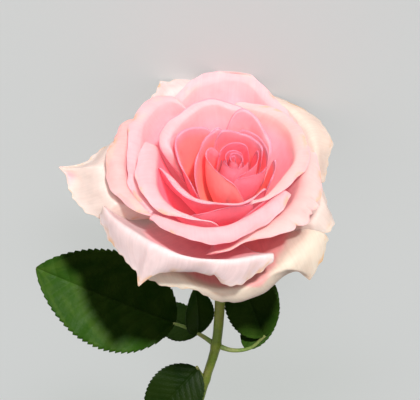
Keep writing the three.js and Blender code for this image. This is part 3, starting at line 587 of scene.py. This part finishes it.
# Cream outer petals
#
# The oldest petals are broad, thin and weathered: cream with a blush, greenish where they were
# shut in the bud, with edges that have dried brown in places. Their rims roll or hang, so each is
# given by its crest and its rim, both as (azimuth, radius, height) at equal steps.
TIP_SHARPNESS = 1.6
CREAM_LIP_ROWS = 20
RIM_RAGGEDNESS = 0.8
CREAM_PETALS = {
    "front": dict(
        crest=(
            (198, 54.5, 25), (221, 51, 31), (237, 49.5, 33), (250, 48.5, 33),
            (263, 46.5, 33), (277, 43.5, 32), (288, 41.7, 31), (300, 41, 29),
        ),
        rim=(
            (199.5, 56, 24.5), (225, 58, 24), (239, 58, 22.5), (248, 52, 25.5),
            (263, 48.5, 26), (275.5, 50, 22.5), (287, 46, 25.5), (299, 44.5, 29),
        ),
        arrive=(50, 52, 58, 62, 58, 52, 50, 50), droop=(-40, -60, -60, -115, -110, -70, -65, -60),
        swell=(0.5, 0.35), corner=(0.035, 0.04), tips=((0.283, 5, 0.052), (0.609, -3, 0.043)),
    ),
    "left": dict(
        crest=((162, 50, 29), (174, 50, 30), (186, 50, 30), (196, 49, 29), (206, 47, 27)),
        rim=((164, 53, 26), (174, 59, 24), (182, 66, 22), (192, 64.5, 20), (208, 53, 20)),
        arrive=25, droop=(-20, -5, 20, -15, -40), corner=(0.1, 0.06), tips=((0.47, 5, 0.12),),
    ),
    "back_left": dict(
        crest=((142, 45, 34), (130, 46, 34), (118, 46, 34), (102, 44, 33)),
        rim=((141, 50, 32), (129, 55, 32), (119, 55, 33), (103, 50, 33)),
        arrive=38, droop=-10, corner=(0.15, 0.1), tips=((0.4, 3, 0.15),),
    ),
    "back_right": dict(
        crest=((92, 43, 32), (70, 42, 32), (51, 40, 32), (34, 37, 32), (16, 34, 30)),
        rim=(
            (88, 47, 31), (68, 48.5, 31), (51, 51.5, 28), (38, 49.5, 27), (25, 43, 25), (8, 37, 24),
        ),
        arrive=35, droop=-35, corner=(0.12, 0.06),
    ),
    "right": dict(
        crest=((16, 34, 27), (2, 35, 27), (-12, 36, 26), (-27, 36, 24)),
        rim=((14, 36, 25), (-2, 39, 23), (-14, 44, 20), (-27, 40, 20)),
        arrive=35, droop=-40, corner=(0.08, 0.08), tips=((0.6, 2, 0.2),),
    ),
    "front_right": dict(
        crest=(
            (231, 43, 15), (240, 41, 12.5), (254, 40, 9), (270, 41, 9), (285, 40, 11),
            (300, 37.5, 15), (318, 36, 19), (340, 36, 22),
        ),
        rim=(
            (231, 52, 13), (240, 50, 9.5), (256, 44, 8), (272, 44, 4), (288, 43, 4),
            (311, 40, 9), (320, 46.5, 12), (331, 46.5, 16), (344, 42, 20),
        ),
        leave=5, arrive=35, droop=(-60, -60, -80, -100, -120, -110, -70, -60, -50),
        swell=(0.45, 0.4), corner=(0.04, 0.06), tips=((0.741, 4.5, 0.06),),
    ),
    "underneath": dict(
        crest=((112, 46, 24), (98, 46.5, 25), (82, 47, 25), (64, 51, 24), (48, 48, 24)),
        rim=((112, 46, 13), (98, 47, 11), (82, 48, 10), (64, 52, 11), (48, 49, 14)),
        leave=0, arrive=60, droop=-90, corner=(0.15, 0.15),
    ),
}


def read_points(points, share):
    azimuth, radius, height = (spread(values, share) for values in zip(*points))
    return np.radians(azimuth), radius, height


def cream_petal(
    crest, rim, arrive, droop, corner, foot=(5, -0.3), leave=15, swell=(0.35, 0.35),
    tips=(), low=0.55, flutter=0.5,
):
    share = np.linspace(0, 1, 2 * columns_for(rim[len(rim) // 2][1], abs(rim[-1][0] - rim[0][0])))
    full = fullness(share, corner)
    azimuth, radius, height = read_points(crest, share)
    rim_azimuth, rim_radius, rim_height = read_points(rim, share)
    arriving = np.radians(spread(arrive, share))
    rows, heading = petal_body(
        azimuth, radius, height, foot, math.radians(leave), arriving, low + (1 - low) * full
    )
    start = rows[-1]
    reach = ray(rim_azimuth, rim_radius, rim_height) - ray(azimuth, radius, height)
    end = start + reach * full[:, None]
    falling = np.radians(spread(droop, share))
    down = ray(rim_azimuth, np.cos(falling), np.sin(falling))
    for place, length, half in tips:
        near = np.clip(1 - np.abs(share - place) / half, 0, 1) ** TIP_SHARPNESS
        end = end + down * (length * near)[:, None]
    round_rim = np.cumsum(np.abs(np.gradient(rim_azimuth)) * rim_radius)
    gap = np.linalg.norm(end - start, axis=1)[:, None]
    rise = ray(azimuth, np.cos(heading), np.sin(heading))
    t = np.linspace(0, 1, CREAM_LIP_ROWS + 1)[1:, None, None]
    lips = bezier(start, start + rise * swell[0] * gap, end - down * swell[1] * gap, end, t)
    ragged = RIM_RAGGEDNESS * full * ripple(round_rim, (15, 7.3, 4.1))
    lips = lips + t**6 * down * ragged[:, None]
    grid = np.concatenate((rows, lips))
    up = np.linspace(0, 1, len(grid))[:, None]
    wave = flutter * up**2 * ripple(round_rim + 16 * up, (31, 17, 11))
    grid = grid + wave[..., None] * ray(azimuth, 1, 0)
    return grid if azimuth[-1] > azimuth[0] else grid[:, ::-1]


CREAM_SKIN = petal_skin(
    "cream_petal_skin", edge_line=0.4, edge_colour=(0.62, 0.38, 0.23), stain=0.7, stain_reach=3.2,
    veining=0.05, crinkle=0.0001, glow=0.5, painted_glow=0.03,
)
ROSE = (0.85, 0.3, 0.32)
CREAM_OUTSIDE = (0.54, 0.47, 0.35)
CREAM_FADE = 6
CREAM_TINTS = {  # foot, body and lip, and the width of the lip's colour
    "front": (
        (0.92, 0.32, 0.34), (0.8, 0.42, 0.43), (0.59, 0.45, 0.44), ((-40, 42), (-20, 24), (-8, 15)),
    ),
    "left": (
        (0.57, 0.45, 0.4), (0.57, 0.45, 0.4), (0.56, 0.31, 0.33), ((-9, -4), (-1.5, 1.5), (6, -4)),
    ),
    "back_left": (ROSE, (0.7, 0.42, 0.42), (0.6, 0.44, 0.42), 12),
    "back_right": (ROSE, (0.62, 0.4, 0.38), (0.56, 0.43, 0.36), 12),
    "right": (ROSE, (0.54, 0.43, 0.36), (0.53, 0.43, 0.38), 12),
    "front_right": (
        (0.8, 0.2, 0.2), (0.63, 0.28, 0.26), (0.52, 0.435, 0.35),
        ((-36, 3), (-24, 6), (-10, 10), (1, 10), (7, 6), (18, 18)),
    ),
    "underneath": (ROSE, (0.58, 0.48, 0.42), (0.64, 0.42, 0.42), 12),
}
blades = [
    dressed(cream_petal(**shape), *CREAM_TINTS[name], CREAM_FADE, CREAM_OUTSIDE)
    for name, shape in CREAM_PETALS.items()
]
petals_piece("cream_petals", "guard_petals", CREAM_SKIN, blades)


# Receptacle
#
# The fleshy end of the stem that all the petals grow from. It is hidden between them: the lower
# ring carries the cream petals and the core above it the pink ones.
RING_PROFILE = [(7.5, -1.2), (7.5, 0.6)]
CORE_PROFILE = [(6.5, 0.9), (7.5, 3), (7, 8), (5, 13), (2.5, 16), (0.4, 17)]


def round_faces(rings, sides):
    """Faces of a closed round body, whose rings' points are followed by its two end points."""
    index = np.arange(rings * sides).reshape(rings, sides)
    onward = np.roll(index, -1, axis=1)
    quads = np.stack((index[:-1], onward[:-1], onward[1:], index[1:]), -1)
    start = rings * sides
    first = [(start, b, a) for a, b in zip(index[0].tolist(), onward[0].tolist())]
    last = [(start + 1, a, b) for a, b in zip(index[-1].tolist(), onward[-1].tolist())]
    return quads.reshape(-1, 4).tolist() + first + last


def turned_mesh(name, profile, sides, steps):
    """A closed round body whose profile is given as (radius, height), from the bottom up."""
    share = np.linspace(0, 1, steps)
    if steps == len(profile):
        radius, height = np.array(profile, float).T
    else:
        radius, height = (spread(values, share) for values in zip(*profile))
    angle = np.arange(sides) * 2 * math.pi / sides
    rings = ray(angle[None, :], radius[:, None], height[:, None]).reshape(-1, 3)
    ends = np.array([(0, 0, height[0]), (0, 0, height[-1])])
    return smooth_mesh(name, np.concatenate((rings, ends)), round_faces(steps, sides))


def grain(tree, scale, detail):
    """Noise from 0 to 1 over a whole piece, with scale in spots per metre."""
    spot = put(tree, "ShaderNodeTexCoord").outputs["Object"]
    inputs = {"Vector": spot, "Scale": scale, "Detail": detail}
    return put(tree, "ShaderNodeTexNoise", inputs).outputs["Fac"]


FLESH, tree, surface = new_skin("receptacle_flesh")
flecked = mixed(tree, grain(tree, 900.0, 4.0), (0.42, 0.46, 0.16, 1), (0.62, 0.6, 0.3, 1))
tree.links.new(flecked, surface.inputs["Base Color"])
setting(surface, {"Roughness": 0.6})
ring = turned_mesh("petal_ring", RING_PROFILE, 40, 2)
finished("petal_ring", ring, FLESH, "guard_petals")
core = turned_mesh("receptacle_core", CORE_PROFILE, 28, 24)
finished("receptacle_core", core, FLESH, "bloom")


# Calyx
#
# The green hip under the bloom and the five sepals round its top, which have folded back from the
# open flower. They are leafy and thin, with a raised keel and a drawn-out point.
HIP_PROFILE = [(2.6, -13.5), (4.6, -11), (5.6, -7), (5.1, -3.5), (5.9, -1.5)]
SEPAL_PATH = ((3.5, -3.2), (10, -3.4), (17, -5.5), (22.5, -10.5), (25, -17))
SEPAL_HALF_WIDTH = (3.2, 3.8, 3.1, 1.9, 0.3)
SEPAL_THICKNESS = 0.9
SEPAL_EDGE = 0.35
SEPAL_TIP = 0.25
FIRST_SEPAL = 20
SEPALS = 5


def sepal_grid(azimuth):
    along = np.linspace(0, 1, 40)
    radius, height = (spread(values, along) for values in zip(*SEPAL_PATH))
    half = np.maximum(spread(SEPAL_HALF_WIDTH, along), SEPAL_TIP)
    half = half * (1 + 0.1 * ripple(along * 28, (9, 5)))
    across = np.linspace(-1, 1, 15)
    middle = ray(np.full_like(along, azimuth), radius, height)
    side = ray(np.array(azimuth + math.pi / 2), 1, 0)
    grid = middle[:, None] + side * (half[:, None] * across)[..., None]
    keel = 0.6 * np.exp(-((across / 0.16) ** 2)) + 0.5 * (1 - across**2)
    grid[..., 2] -= keel[None, :] * np.clip(half, 0, 1.2)[:, None]
    return grid


def green_skin(name, young, old, scale, gloss, relief):
    """A green rind: two greens that drift into each other, and fine ridges along the growth."""
    skin, tree, surface = new_skin(name)
    drift = grain(tree, scale, 4.0)
    ridges = grain(tree, scale * 9, 3.0)
    green = mixed(tree, between(tree, drift, 0.35, 0.65), (*young, 1), (*old, 1))
    speck = between(tree, ridges, 0.3, 0.7, 0.85, 1.1)
    tree.links.new(scaled(tree, green, speck), surface.inputs["Base Color"])
    bump = put(tree, "ShaderNodeBump", {"Height": ridges, "Distance": relief, "Strength": 0.5})
    tree.links.new(bump.outputs[0], surface.inputs["Normal"])
    setting(surface, {"Roughness": gloss, "Specular IOR Level": 0.2})
    return skin


CALYX_SKIN = green_skin("calyx_skin", (0.12, 0.2, 0.05), (0.2, 0.26, 0.08), 260.0, 0.55, 0.0001)
hip = turned_mesh("hip", HIP_PROFILE, 48, 40)
finished("hip", hip, CALYX_SKIN, "calyx")
azimuths = [math.radians(FIRST_SEPAL + 360 * k / SEPALS) for k in range(SEPALS)]
shells = [fresh_shell(sepal_grid(azimuth), SEPAL_THICKNESS, SEPAL_EDGE) for azimuth in azimuths]
points, faces, _, _ = joined(shells)
finished("sepals", smooth_mesh("sepals", points, faces), CALYX_SKIN, "calyx")


# Stem
#
# A slender woody shoot, green and smooth, with a low swelling at each node and a few hooked
# prickles. It bends a little at each leaf, and its lower end was cut with a knife.
STEM_POINTS = (
    (0, 0, -13.8), (1.5, -0.5, -45), (3, -0.5, -90), (0.5, 0, -121), (-2, 1, -165),
    (-2, 2, -215), (0, 4, -265), (2, 4.6, -310), (3, 1.2, -350),
)
STEM_RADII = (2.4, 2.3, 2.2, 1.8, 1.75, 1.8, 1.85, 1.9, 2)
STEM_RINGS = 500
STEM_SIDES = 28
NODE_HEIGHTS = (-90, -121, -172, -222)
NODE_SWELLING = 0.35
NODE_REACH = 3.5
# How far down the stem each prickle is, from 0 to 1, and its azimuth.
PRICKLES = ((0.42, 200), (0.52, 20), (0.6, 290), (0.7, 150), (0.79, 330), (0.87, 240))
PRICKLE_LENGTH = 4.0
PRICKLE_ROOT = 0.5  # how deep a prickle is set in the bark
PRICKLE_RINGS = 16
PRICKLE_SIDES = 18


def smooth_path(points, count):
    """count points at equal distances along a smooth curve through points, and its directions."""
    p = np.asarray(points, float)
    p = np.vstack((2 * p[0] - p[1], p, 2 * p[-1] - p[-2]))
    fine = []
    for a, b, c, d in zip(p, p[1:], p[2:], p[3:]):
        ab, bc, cd = (math.sqrt(math.dist(*pair)) for pair in ((a, b), (b, c), (c, d)))
        leave = ((b - a) / ab - (c - a) / (ab + bc) + (c - b) / bc) * bc
        arrive = ((c - b) / bc - (d - b) / (bc + cd) + (d - c) / cd) * bc
        t = np.linspace(0, 1, 60, endpoint=False)[:, None]
        square = (3 * (c - b) - 2 * leave - arrive) * t**2
        fine.append(b + leave * t + square + (2 * (b - c) + leave + arrive) * t**3)
    fine = np.concatenate((*fine, p[-2:-1]))
    gone = np.concatenate(([0], np.cumsum(np.linalg.norm(np.diff(fine, axis=0), axis=1))))
    at = np.linspace(0, gone[-1], count)
    path = np.stack([np.interp(at, gone, fine[:, k]) for k in range(3)], -1)
    ahead = np.gradient(path, axis=0)
    return path, ahead / np.linalg.norm(ahead, axis=1)[:, None]


def tube(path, ahead, radii, sides, first_side):
    """Vertices and faces of a closed round tube whose radius is given at each point or vertex."""
    normal = np.asarray(first_side, float)
    rings = []
    angle = np.arange(sides) * 2 * math.pi / sides
    for place, direction, radius in zip(path, ahead, radii):
        normal = normal - direction * (normal @ direction)
        normal /= np.linalg.norm(normal)
        other = np.cross(direction, normal)
        rim = np.cos(angle)[:, None] * normal + np.sin(angle)[:, None] * other
        rings.append(place + rim * np.broadcast_to(radius, (sides,))[:, None])
    points = np.concatenate((*rings, path[:1], path[-1:]))
    return points, round_faces(len(path), sides)


path, ahead = smooth_path(STEM_POINTS, STEM_RINGS)
share = np.linspace(0, 1, STEM_RINGS)
radius = spread(STEM_RADII, share)
for height in NODE_HEIGHTS:
    radius = radius + NODE_SWELLING * np.exp(-(((path[:, 2] - height) / NODE_REACH) ** 2))
radius = radius + 0.05 * ripple(share * 350, (47, 21, 9))
angle = np.arange(STEM_SIDES) * 2 * math.pi / STEM_SIDES
ribs = 0.035 * np.cos(5 * angle + 0.8) + 0.02 * np.cos(9 * angle)
points, faces = tube(path, ahead, radius[:, None] + ribs, STEM_SIDES, (1, 0, 0))
shapes, redness = [pressed(points, 0)], [np.zeros(len(points))]

steps = np.linspace(0, 1, PRICKLE_RINGS)
around = np.arange(PRICKLE_SIDES) * 2 * math.pi / PRICKLE_SIDES
taper = (1 - steps) ** 1.3 + 0.9 * np.exp(-steps * 9) + 0.06
long_root = 1 + 0.9 * np.exp(-steps * 6)[:, None] * np.cos(around) ** 2
hooked = 0.9 + 1.6 * steps**2 - 1.2 * steps
redder = np.concatenate((np.repeat(np.clip(steps * 1.6, 0.25, 1), PRICKLE_SIDES), (0.2, 1)))
for place, azimuth in PRICKLES:
    k = round(place * (STEM_RINGS - 1))
    outwards = ray(np.array(math.radians(azimuth)), 1, 0)
    root = path[k] + outwards * (radius[k] - PRICKLE_ROOT)
    bend = root + outwards * (steps * PRICKLE_LENGTH)[:, None] + ahead[k] * hooked[:, None]
    direction = np.gradient(bend, axis=0)
    direction /= np.linalg.norm(direction, axis=1)[:, None]
    points, quads = tube(bend, direction, taper[:, None] * long_root, PRICKLE_SIDES, ahead[k])
    start = sum(len(shape) for shape in shapes)
    faces += [[v + start for v in face] for face in quads]
    shapes.append(pressed(points, 0))
    redness.append(redder)
mesh = smooth_mesh("stem_and_prickles", np.concatenate(shapes), faces)
give(mesh, "prickle", "FLOAT", np.concatenate(redness))

STEM_BARK = green_skin("stem_bark", (0.105, 0.155, 0.012), (0.155, 0.19, 0.02), 90.0, 0.5, 0.00006)
tree = STEM_BARK.node_tree
surface = tree.nodes["Principled BSDF"]
bark = surface.inputs["Base Color"].links[0].from_socket
sunburnt = between(tree, grain(tree, 26.0, 3.0), 0.52, 0.72, 0.0, 0.55)
bark = mixed(tree, sunburnt, bark, (0.23, 0.12, 0.06, 1))
thorny = put(tree, "ShaderNodeAttribute", attribute_name="prickle").outputs["Fac"]
bark = mixed(tree, between(tree, thorny, 0.1, 0.9), bark, (0.3, 0.1, 0.05, 1))
tree.links.new(bark, surface.inputs["Base Color"])
finished("stem_and_prickles", mesh, STEM_BARK, "stem")


# Leaves
#
# Each leaf is a thin grooved stalk from a node of the stem, with a winged foot, and one to five
# saw-edged leaflets with sunken veins. They are leathery, dark and a little glossy above and pale
# and matt below.
STALK_RADII = (1.2, 0.9, 0.7)
STALK_FOOT = 0.5
STALK_RINGS = 40
STALK_SIDES = 16
LEAF_THICKNESS = 0.6
LEAF_EDGE = 0.4
LEAF_COLUMNS = 41
ROWS_PER_TOOTH = 9
LEAF_BASE_SHARE = 0.6
LEAF_TIP_SHARE = 0.8
LEAF_ARCH = 0.06
LEAF_FOLD = 0.16
VEIN_SPACING = 6.2
VEIN_SLANT = 0.8
LARGEST_LEAFLET = (66, 44)  # length and width that the veins are spaced and raised for
# Each leaf also has a factor of painted shade that darkens its whole colour, 1 for none.
LEAVES = {  # leaflets are given as foot, tip, the direction they face, width, and teeth
    "leaf_left": dict(
        painted_shade=0.62,
        stalk=((3, -0.5, -90), (-3, 0.5, -86), (-10, 0.5, -81), (-18, 0, -77)),
        leaflets=(
            ((-17, 0, -77.3), (-83, 10.5, -62), (-0.05, -0.66, 0.75), 44, 26),
            ((-6, 0.5, -84), (-10, 9, -60), (0.6, -0.75, 0.2), 15, 14),
            ((-6, 0.5, -84), (-26, 19, -95), (-0.2, -0.5, 0.8), 17, 14),
        ),
    ),
    "leaf_right": dict(
        painted_shade=0.5,
        stalk=((3, -0.5, -90), (11, -1.5, -91), (19, -1, -88), (25, 2, -81)),
        leaflets=(
            ((24.5, 1.8, -81.5), (5, 21, -52), (0.3, -0.8, 0.55), 24, 18),
            ((17, -1.2, -89), (27, 25, -72), (0.2, -0.6, 0.75), 15, 14),
        ),
    ),
    "leaf_small": dict(
        painted_shade=0.16,
        stalk=((0.5, 0, -121), (-2.5, -0.5, -115), (-4.5, -1.5, -108.5)),
        leaflets=(((-4, -1.2, -110), (-25, -22, -130), (-0.05, -0.69, 0.72), 25, 18),),
    ),
    "leaf_lower": dict(
        painted_shade=1,
        stalk=((-2, 1.2, -172), (10, -5, -163), (26, -11, -153), (44, -14, -146)),
        leaflets=(
            ((43, -14, -146.5), (88, -13, -136), (0, -0.95, 0.3), 32, 20),
            ((33, -12.5, -150), (46, -15, -184), (0.1, -0.95, -0.1), 22, 16),
            ((31, -12, -151), (25, -16, -124), (0.1, -0.95, 0.1), 19, 15),
            ((17, -8, -159), (23, -13, -186), (0, -0.95, -0.2), 17, 14),
            ((15, -7, -160), (9, -12, -137), (0, -0.95, 0.2), 15, 13),
        ),
    ),
    "leaf_lowest": dict(
        painted_shade=1,
        stalk=((-1.8, 2.3, -222), (-13, -4, -213), (-28, -9, -204), (-42, -11, -199)),
        leaflets=(
            ((-41, -11, -199.3), (-85, -8, -190), (0, -0.95, 0.3), 30, 19),
            ((-30, -9.5, -203), (-44, -12, -234), (-0.1, -0.95, -0.1), 21, 16),
            ((-26, -8.5, -205), (-34, -8, -174), (-0.1, -0.95, 0.1), 21, 16),
        ),
    ),
}


def leaflet_grid(foot, tip, face, width, teeth):
    """A leaflet's grid from its foot to its tip, and how much each of its points is on a vein."""
    base = np.array(foot, float)
    along = np.array(tip, float) - base
    length = np.linalg.norm(along)
    side = np.cross(along, face)
    side /= np.linalg.norm(side)
    up = np.cross(side, along)
    up /= np.linalg.norm(up)
    t = np.linspace(0, 1, teeth * ROWS_PER_TOOTH + 1)
    widest = LEAF_BASE_SHARE / (LEAF_BASE_SHARE + LEAF_TIP_SHARE)
    outline = t**LEAF_BASE_SHARE * (1 - t) ** LEAF_TIP_SHARE
    outline /= widest**LEAF_BASE_SHARE * (1 - widest) ** LEAF_TIP_SHARE
    saw = ((t * teeth) % 1.0) ** 0.8 * np.where((t * teeth) % 1.0 < 0.9, 1, 0.1)
    half = np.maximum(width / 2 * outline, 0.5) + 0.028 * width * saw * np.sqrt(outline)
    across = np.linspace(-1, 1, LEAF_COLUMNS)
    across = across * (0.6 + 0.4 * np.abs(across))
    over = half[:, None] * across
    far = np.abs(over)
    spacing = VEIN_SPACING * length / LARGEST_LEAFLET[0]
    lean = (t[:, None] * length - VEIN_SLANT * far + 0.012 * far**2) / spacing
    gap = np.abs(lean - np.round(lean))
    out = np.clip(far / (width / 2), 0, 1)
    lateral = np.exp(-((gap / 0.09) ** 2)) * np.clip(1.1 - out, 0, 1)
    middle = np.exp(-((over / 0.55) ** 2))
    vein = np.maximum(lateral * 0.8, middle)
    puff = 0.35 * np.sin(np.pi * np.clip(gap * 2, 0, 1) / 2) * np.clip(1 - out**3, 0, 1)
    wavy = 0.02 * width * out**2 * ripple(t * length, (23, 13))[:, None]
    height = LEAF_ARCH * length * 4 * t * (1 - t)
    height = height[:, None] + LEAF_FOLD * far - 0.3 * middle + wavy
    height = height + puff * (width / LARGEST_LEAFLET[1]) ** 1.8
    grid = base + along * t[:, None, None] + side * over[..., None] + up * height[..., None]
    return grid[:, ::-1], vein[:, ::-1]


def leaf_skin():
    """Dark above with paler veins and a fine net between them, and pale and matt below, all
    darkened by each leaf's painted shade.
    """
    skin, tree, surface = new_skin("leaf_skin")
    vein = put(tree, "ShaderNodeAttribute", attribute_name="vein").outputs["Fac"]
    under = put(tree, "ShaderNodeAttribute", attribute_name="underside").outputs["Fac"]
    place = put(tree, "ShaderNodeAttribute", attribute_name="place_on_leaf").outputs["Vector"]
    blotch = noise(tree, place, 0.09, 4.0)
    blotch = between(tree, blotch, 0.35, 0.65)
    upper = mixed(tree, blotch, (0.04, 0.12, 0.01, 1), (0.075, 0.165, 0.018, 1))
    upper = mixed(tree, between(tree, vein, 0.35, 1.0, 0.0, 0.3), upper, (0.1, 0.2, 0.03, 1))
    lower = mixed(tree, vein, (0.2, 0.3, 0.13, 1), (0.3, 0.38, 0.17, 1))
    green = mixed(tree, under, upper, lower)
    # painted shade: each leaf's colour is darkened by its own factor
    painted_shade = put(tree, "ShaderNodeAttribute", attribute_name="painted_shade").outputs["Fac"]
    green = scaled(tree, green, painted_shade)
    edge = put(tree, "ShaderNodeSeparateXYZ", {0: place}).outputs["Z"]
    green = mixed(tree, between(tree, edge, 0.0, 0.7, 0.5, 0.0), green, (0.2, 0.13, 0.05, 1))
    tree.links.new(green, surface.inputs["Base Color"])
    cells = put(
        tree, "ShaderNodeTexVoronoi", {"Vector": place, "Scale": 0.8}, feature="DISTANCE_TO_EDGE"
    ).outputs["Distance"]
    net = between(tree, cells, 0.0, 0.22)
    bump = put(tree, "ShaderNodeBump", {"Height": net, "Distance": 0.00008, "Strength": 0.5})
    tree.links.new(bump.outputs[0], surface.inputs["Normal"])
    tree.links.new(between(tree, under, 0.0, 1.0, 0.42, 0.75), surface.inputs["Roughness"])
    setting(surface, {"Specular IOR Level": 0.06})
    return skin


LEAF_SKIN = leaf_skin()
STALK_SKIN = green_skin(
    "leaf_stalk_skin", (0.12, 0.17, 0.04), (0.18, 0.18, 0.06), 120.0, 0.5, 0.00005
)
for name, leaf in LEAVES.items():
    grids, veins = zip(*(leaflet_grid(*leaflet) for leaflet in leaf["leaflets"]))
    shells = [fresh_shell(grid, LEAF_THICKNESS, LEAF_EDGE) for grid in grids]
    points, faces, place, underside = joined(shells)
    mesh = smooth_mesh(name, points, faces)
    give(mesh, "vein", "FLOAT", np.concatenate([np.tile(vein.ravel(), 2) for vein in veins]))
    give(mesh, "underside", "FLOAT", underside)
    # how much painted shade darkens this leaf
    give(mesh, "painted_shade", "FLOAT", np.full(len(points), float(leaf["painted_shade"])))
    give(mesh, "place_on_leaf", "FLOAT_VECTOR", place)
    finished(name + "_blades", mesh, LEAF_SKIN, name)

    path, ahead = smooth_path(leaf["stalk"], STALK_RINGS)
    steps = np.linspace(0, 1, STALK_RINGS)
    radii = spread(STALK_RADII, steps) + STALK_FOOT * np.exp(-steps * 12)
    stalk = smooth_mesh(name + "_stalk", *tube(path, ahead, radii, STALK_SIDES, (0, -1, 0)))
    finished(name + "_stalk", stalk, STALK_SKIN, name)


# Table, light and camera
#
# A plain pale table top in daylight. The sun stands above right, a broad front lamp shines into the
# flower's cup and a weak one lights its back. The leaf blades have the sun alone, the table its own
# lamp. The camera looks down on the lying flower.
TABLE_SIZE = 6.0
TABLE_GLOW = 0.48  # from 0.5 on, the renderer would treat the whole table as a lamp
FACE_ELEVATION = math.radians(50)
CAMERA_ROLL = math.radians(7)
CAMERA_DISTANCE = 600
BUTTON_IN_PICTURE = (235, 160)
PICTURE = (420, 400)
PIXELS_PER_MM = 2.5
BUTTON = np.array((0, 0, 40))

table = bpy.data.meshes.new("table_top")
half = TABLE_SIZE / 2
table.from_pydata(
    [(-half, -half, 0), (half, -half, 0), (half, half, 0), (-half, half, 0)], [], [(0, 1, 2, 3)]
)
board, tree, surface = new_skin("table_top")
cloud = between(tree, grain(tree, 3.0, 2.0), 0.3, 0.7)
pale = mixed(tree, cloud, (0.35, 0.362, 0.358, 1), (0.375, 0.379, 0.371, 1))
tree.links.new(pale, surface.inputs["Base Color"])
glowing = {"Emission Color": (0.97, 0.99, 0.98, 1), "Emission Strength": TABLE_GLOW}
setting(surface, {"Roughness": 0.9} | glowing)
table.materials.append(board)
floor = bpy.data.objects.new("table_top", table)
bpy.context.scene.collection.objects.link(floor)
floor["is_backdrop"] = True

across = np.array((1, 0, 0))
upwards = np.array((0, math.sin(FACE_ELEVATION), math.cos(FACE_ELEVATION)))
backwards = np.array((0, -math.cos(FACE_ELEVATION), math.sin(FACE_ELEVATION)))
right = across * math.cos(CAMERA_ROLL) + upwards * math.sin(CAMERA_ROLL)
above = upwards * math.cos(CAMERA_ROLL) - across * math.sin(CAMERA_ROLL)
target = (
    BUTTON
    - right * (BUTTON_IN_PICTURE[0] - PICTURE[0] / 2) / PIXELS_PER_MM
    - above * (PICTURE[1] / 2 - BUTTON_IN_PICTURE[1]) / PIXELS_PER_MM
)
camera = bpy.data.cameras.new("camera")
camera.lens = camera.sensor_width * PIXELS_PER_MM * CAMERA_DISTANCE / PICTURE[0]
viewer = bpy.data.objects.new("camera", camera)
bpy.context.scene.collection.objects.link(viewer)
turned = Matrix([list(axis @ LAID.T) for axis in (right, above, backwards)]).transposed()
viewer.matrix_world = Matrix.Translation(
    on_table(target + backwards * CAMERA_DISTANCE) * MM
) @ turned.to_4x4()
bpy.context.scene.camera = viewer


def sun(name, towards, strength, softness, lit):
    """Light from a direction, which falls on the lit objects alone."""
    light = bpy.data.lights.new(name, "SUN")
    light.energy = strength
    light.angle = math.radians(softness)
    lamp = bpy.data.objects.new(name, light)
    bpy.context.scene.collection.objects.link(lamp)
    lamp.rotation_mode = "QUATERNION"
    lamp.rotation_quaternion = Vector(towards).to_track_quat("Z", "Y")
    lamp.light_linking.receiver_collection = lit


rose = bpy.data.collections.new("rose")
flower = bpy.data.collections.new("flower_and_stem")
ground = bpy.data.collections.new("ground")
ground.objects.link(floor)
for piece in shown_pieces():
    rose.objects.link(piece)
    if not piece.name.endswith("_blades"):
        flower.objects.link(piece)
sun("key_lamp", (right * 0.18 + above * 0.35 + backwards) @ LAID.T, 4.0, 4, rose)
sun("front_lamp", (backwards + 0.1 * above) @ LAID.T, 2.6, 60, flower)
sun("back_lamp", (0.3, 0.8, 0.6), 0.7, 60, flower)
sun("table_lamp", (0.1, 0.1, 1), 1.1, 120, ground)
world = bpy.data.worlds.new("studio")
bpy.context.scene.world = world
world.use_nodes = True
setting(world.node_tree.nodes["Background"], {"Color": (0.96, 0.98, 1.0, 1), "Strength": 0.08})
bpy.context.scene.view_settings.view_transform = "Standard"
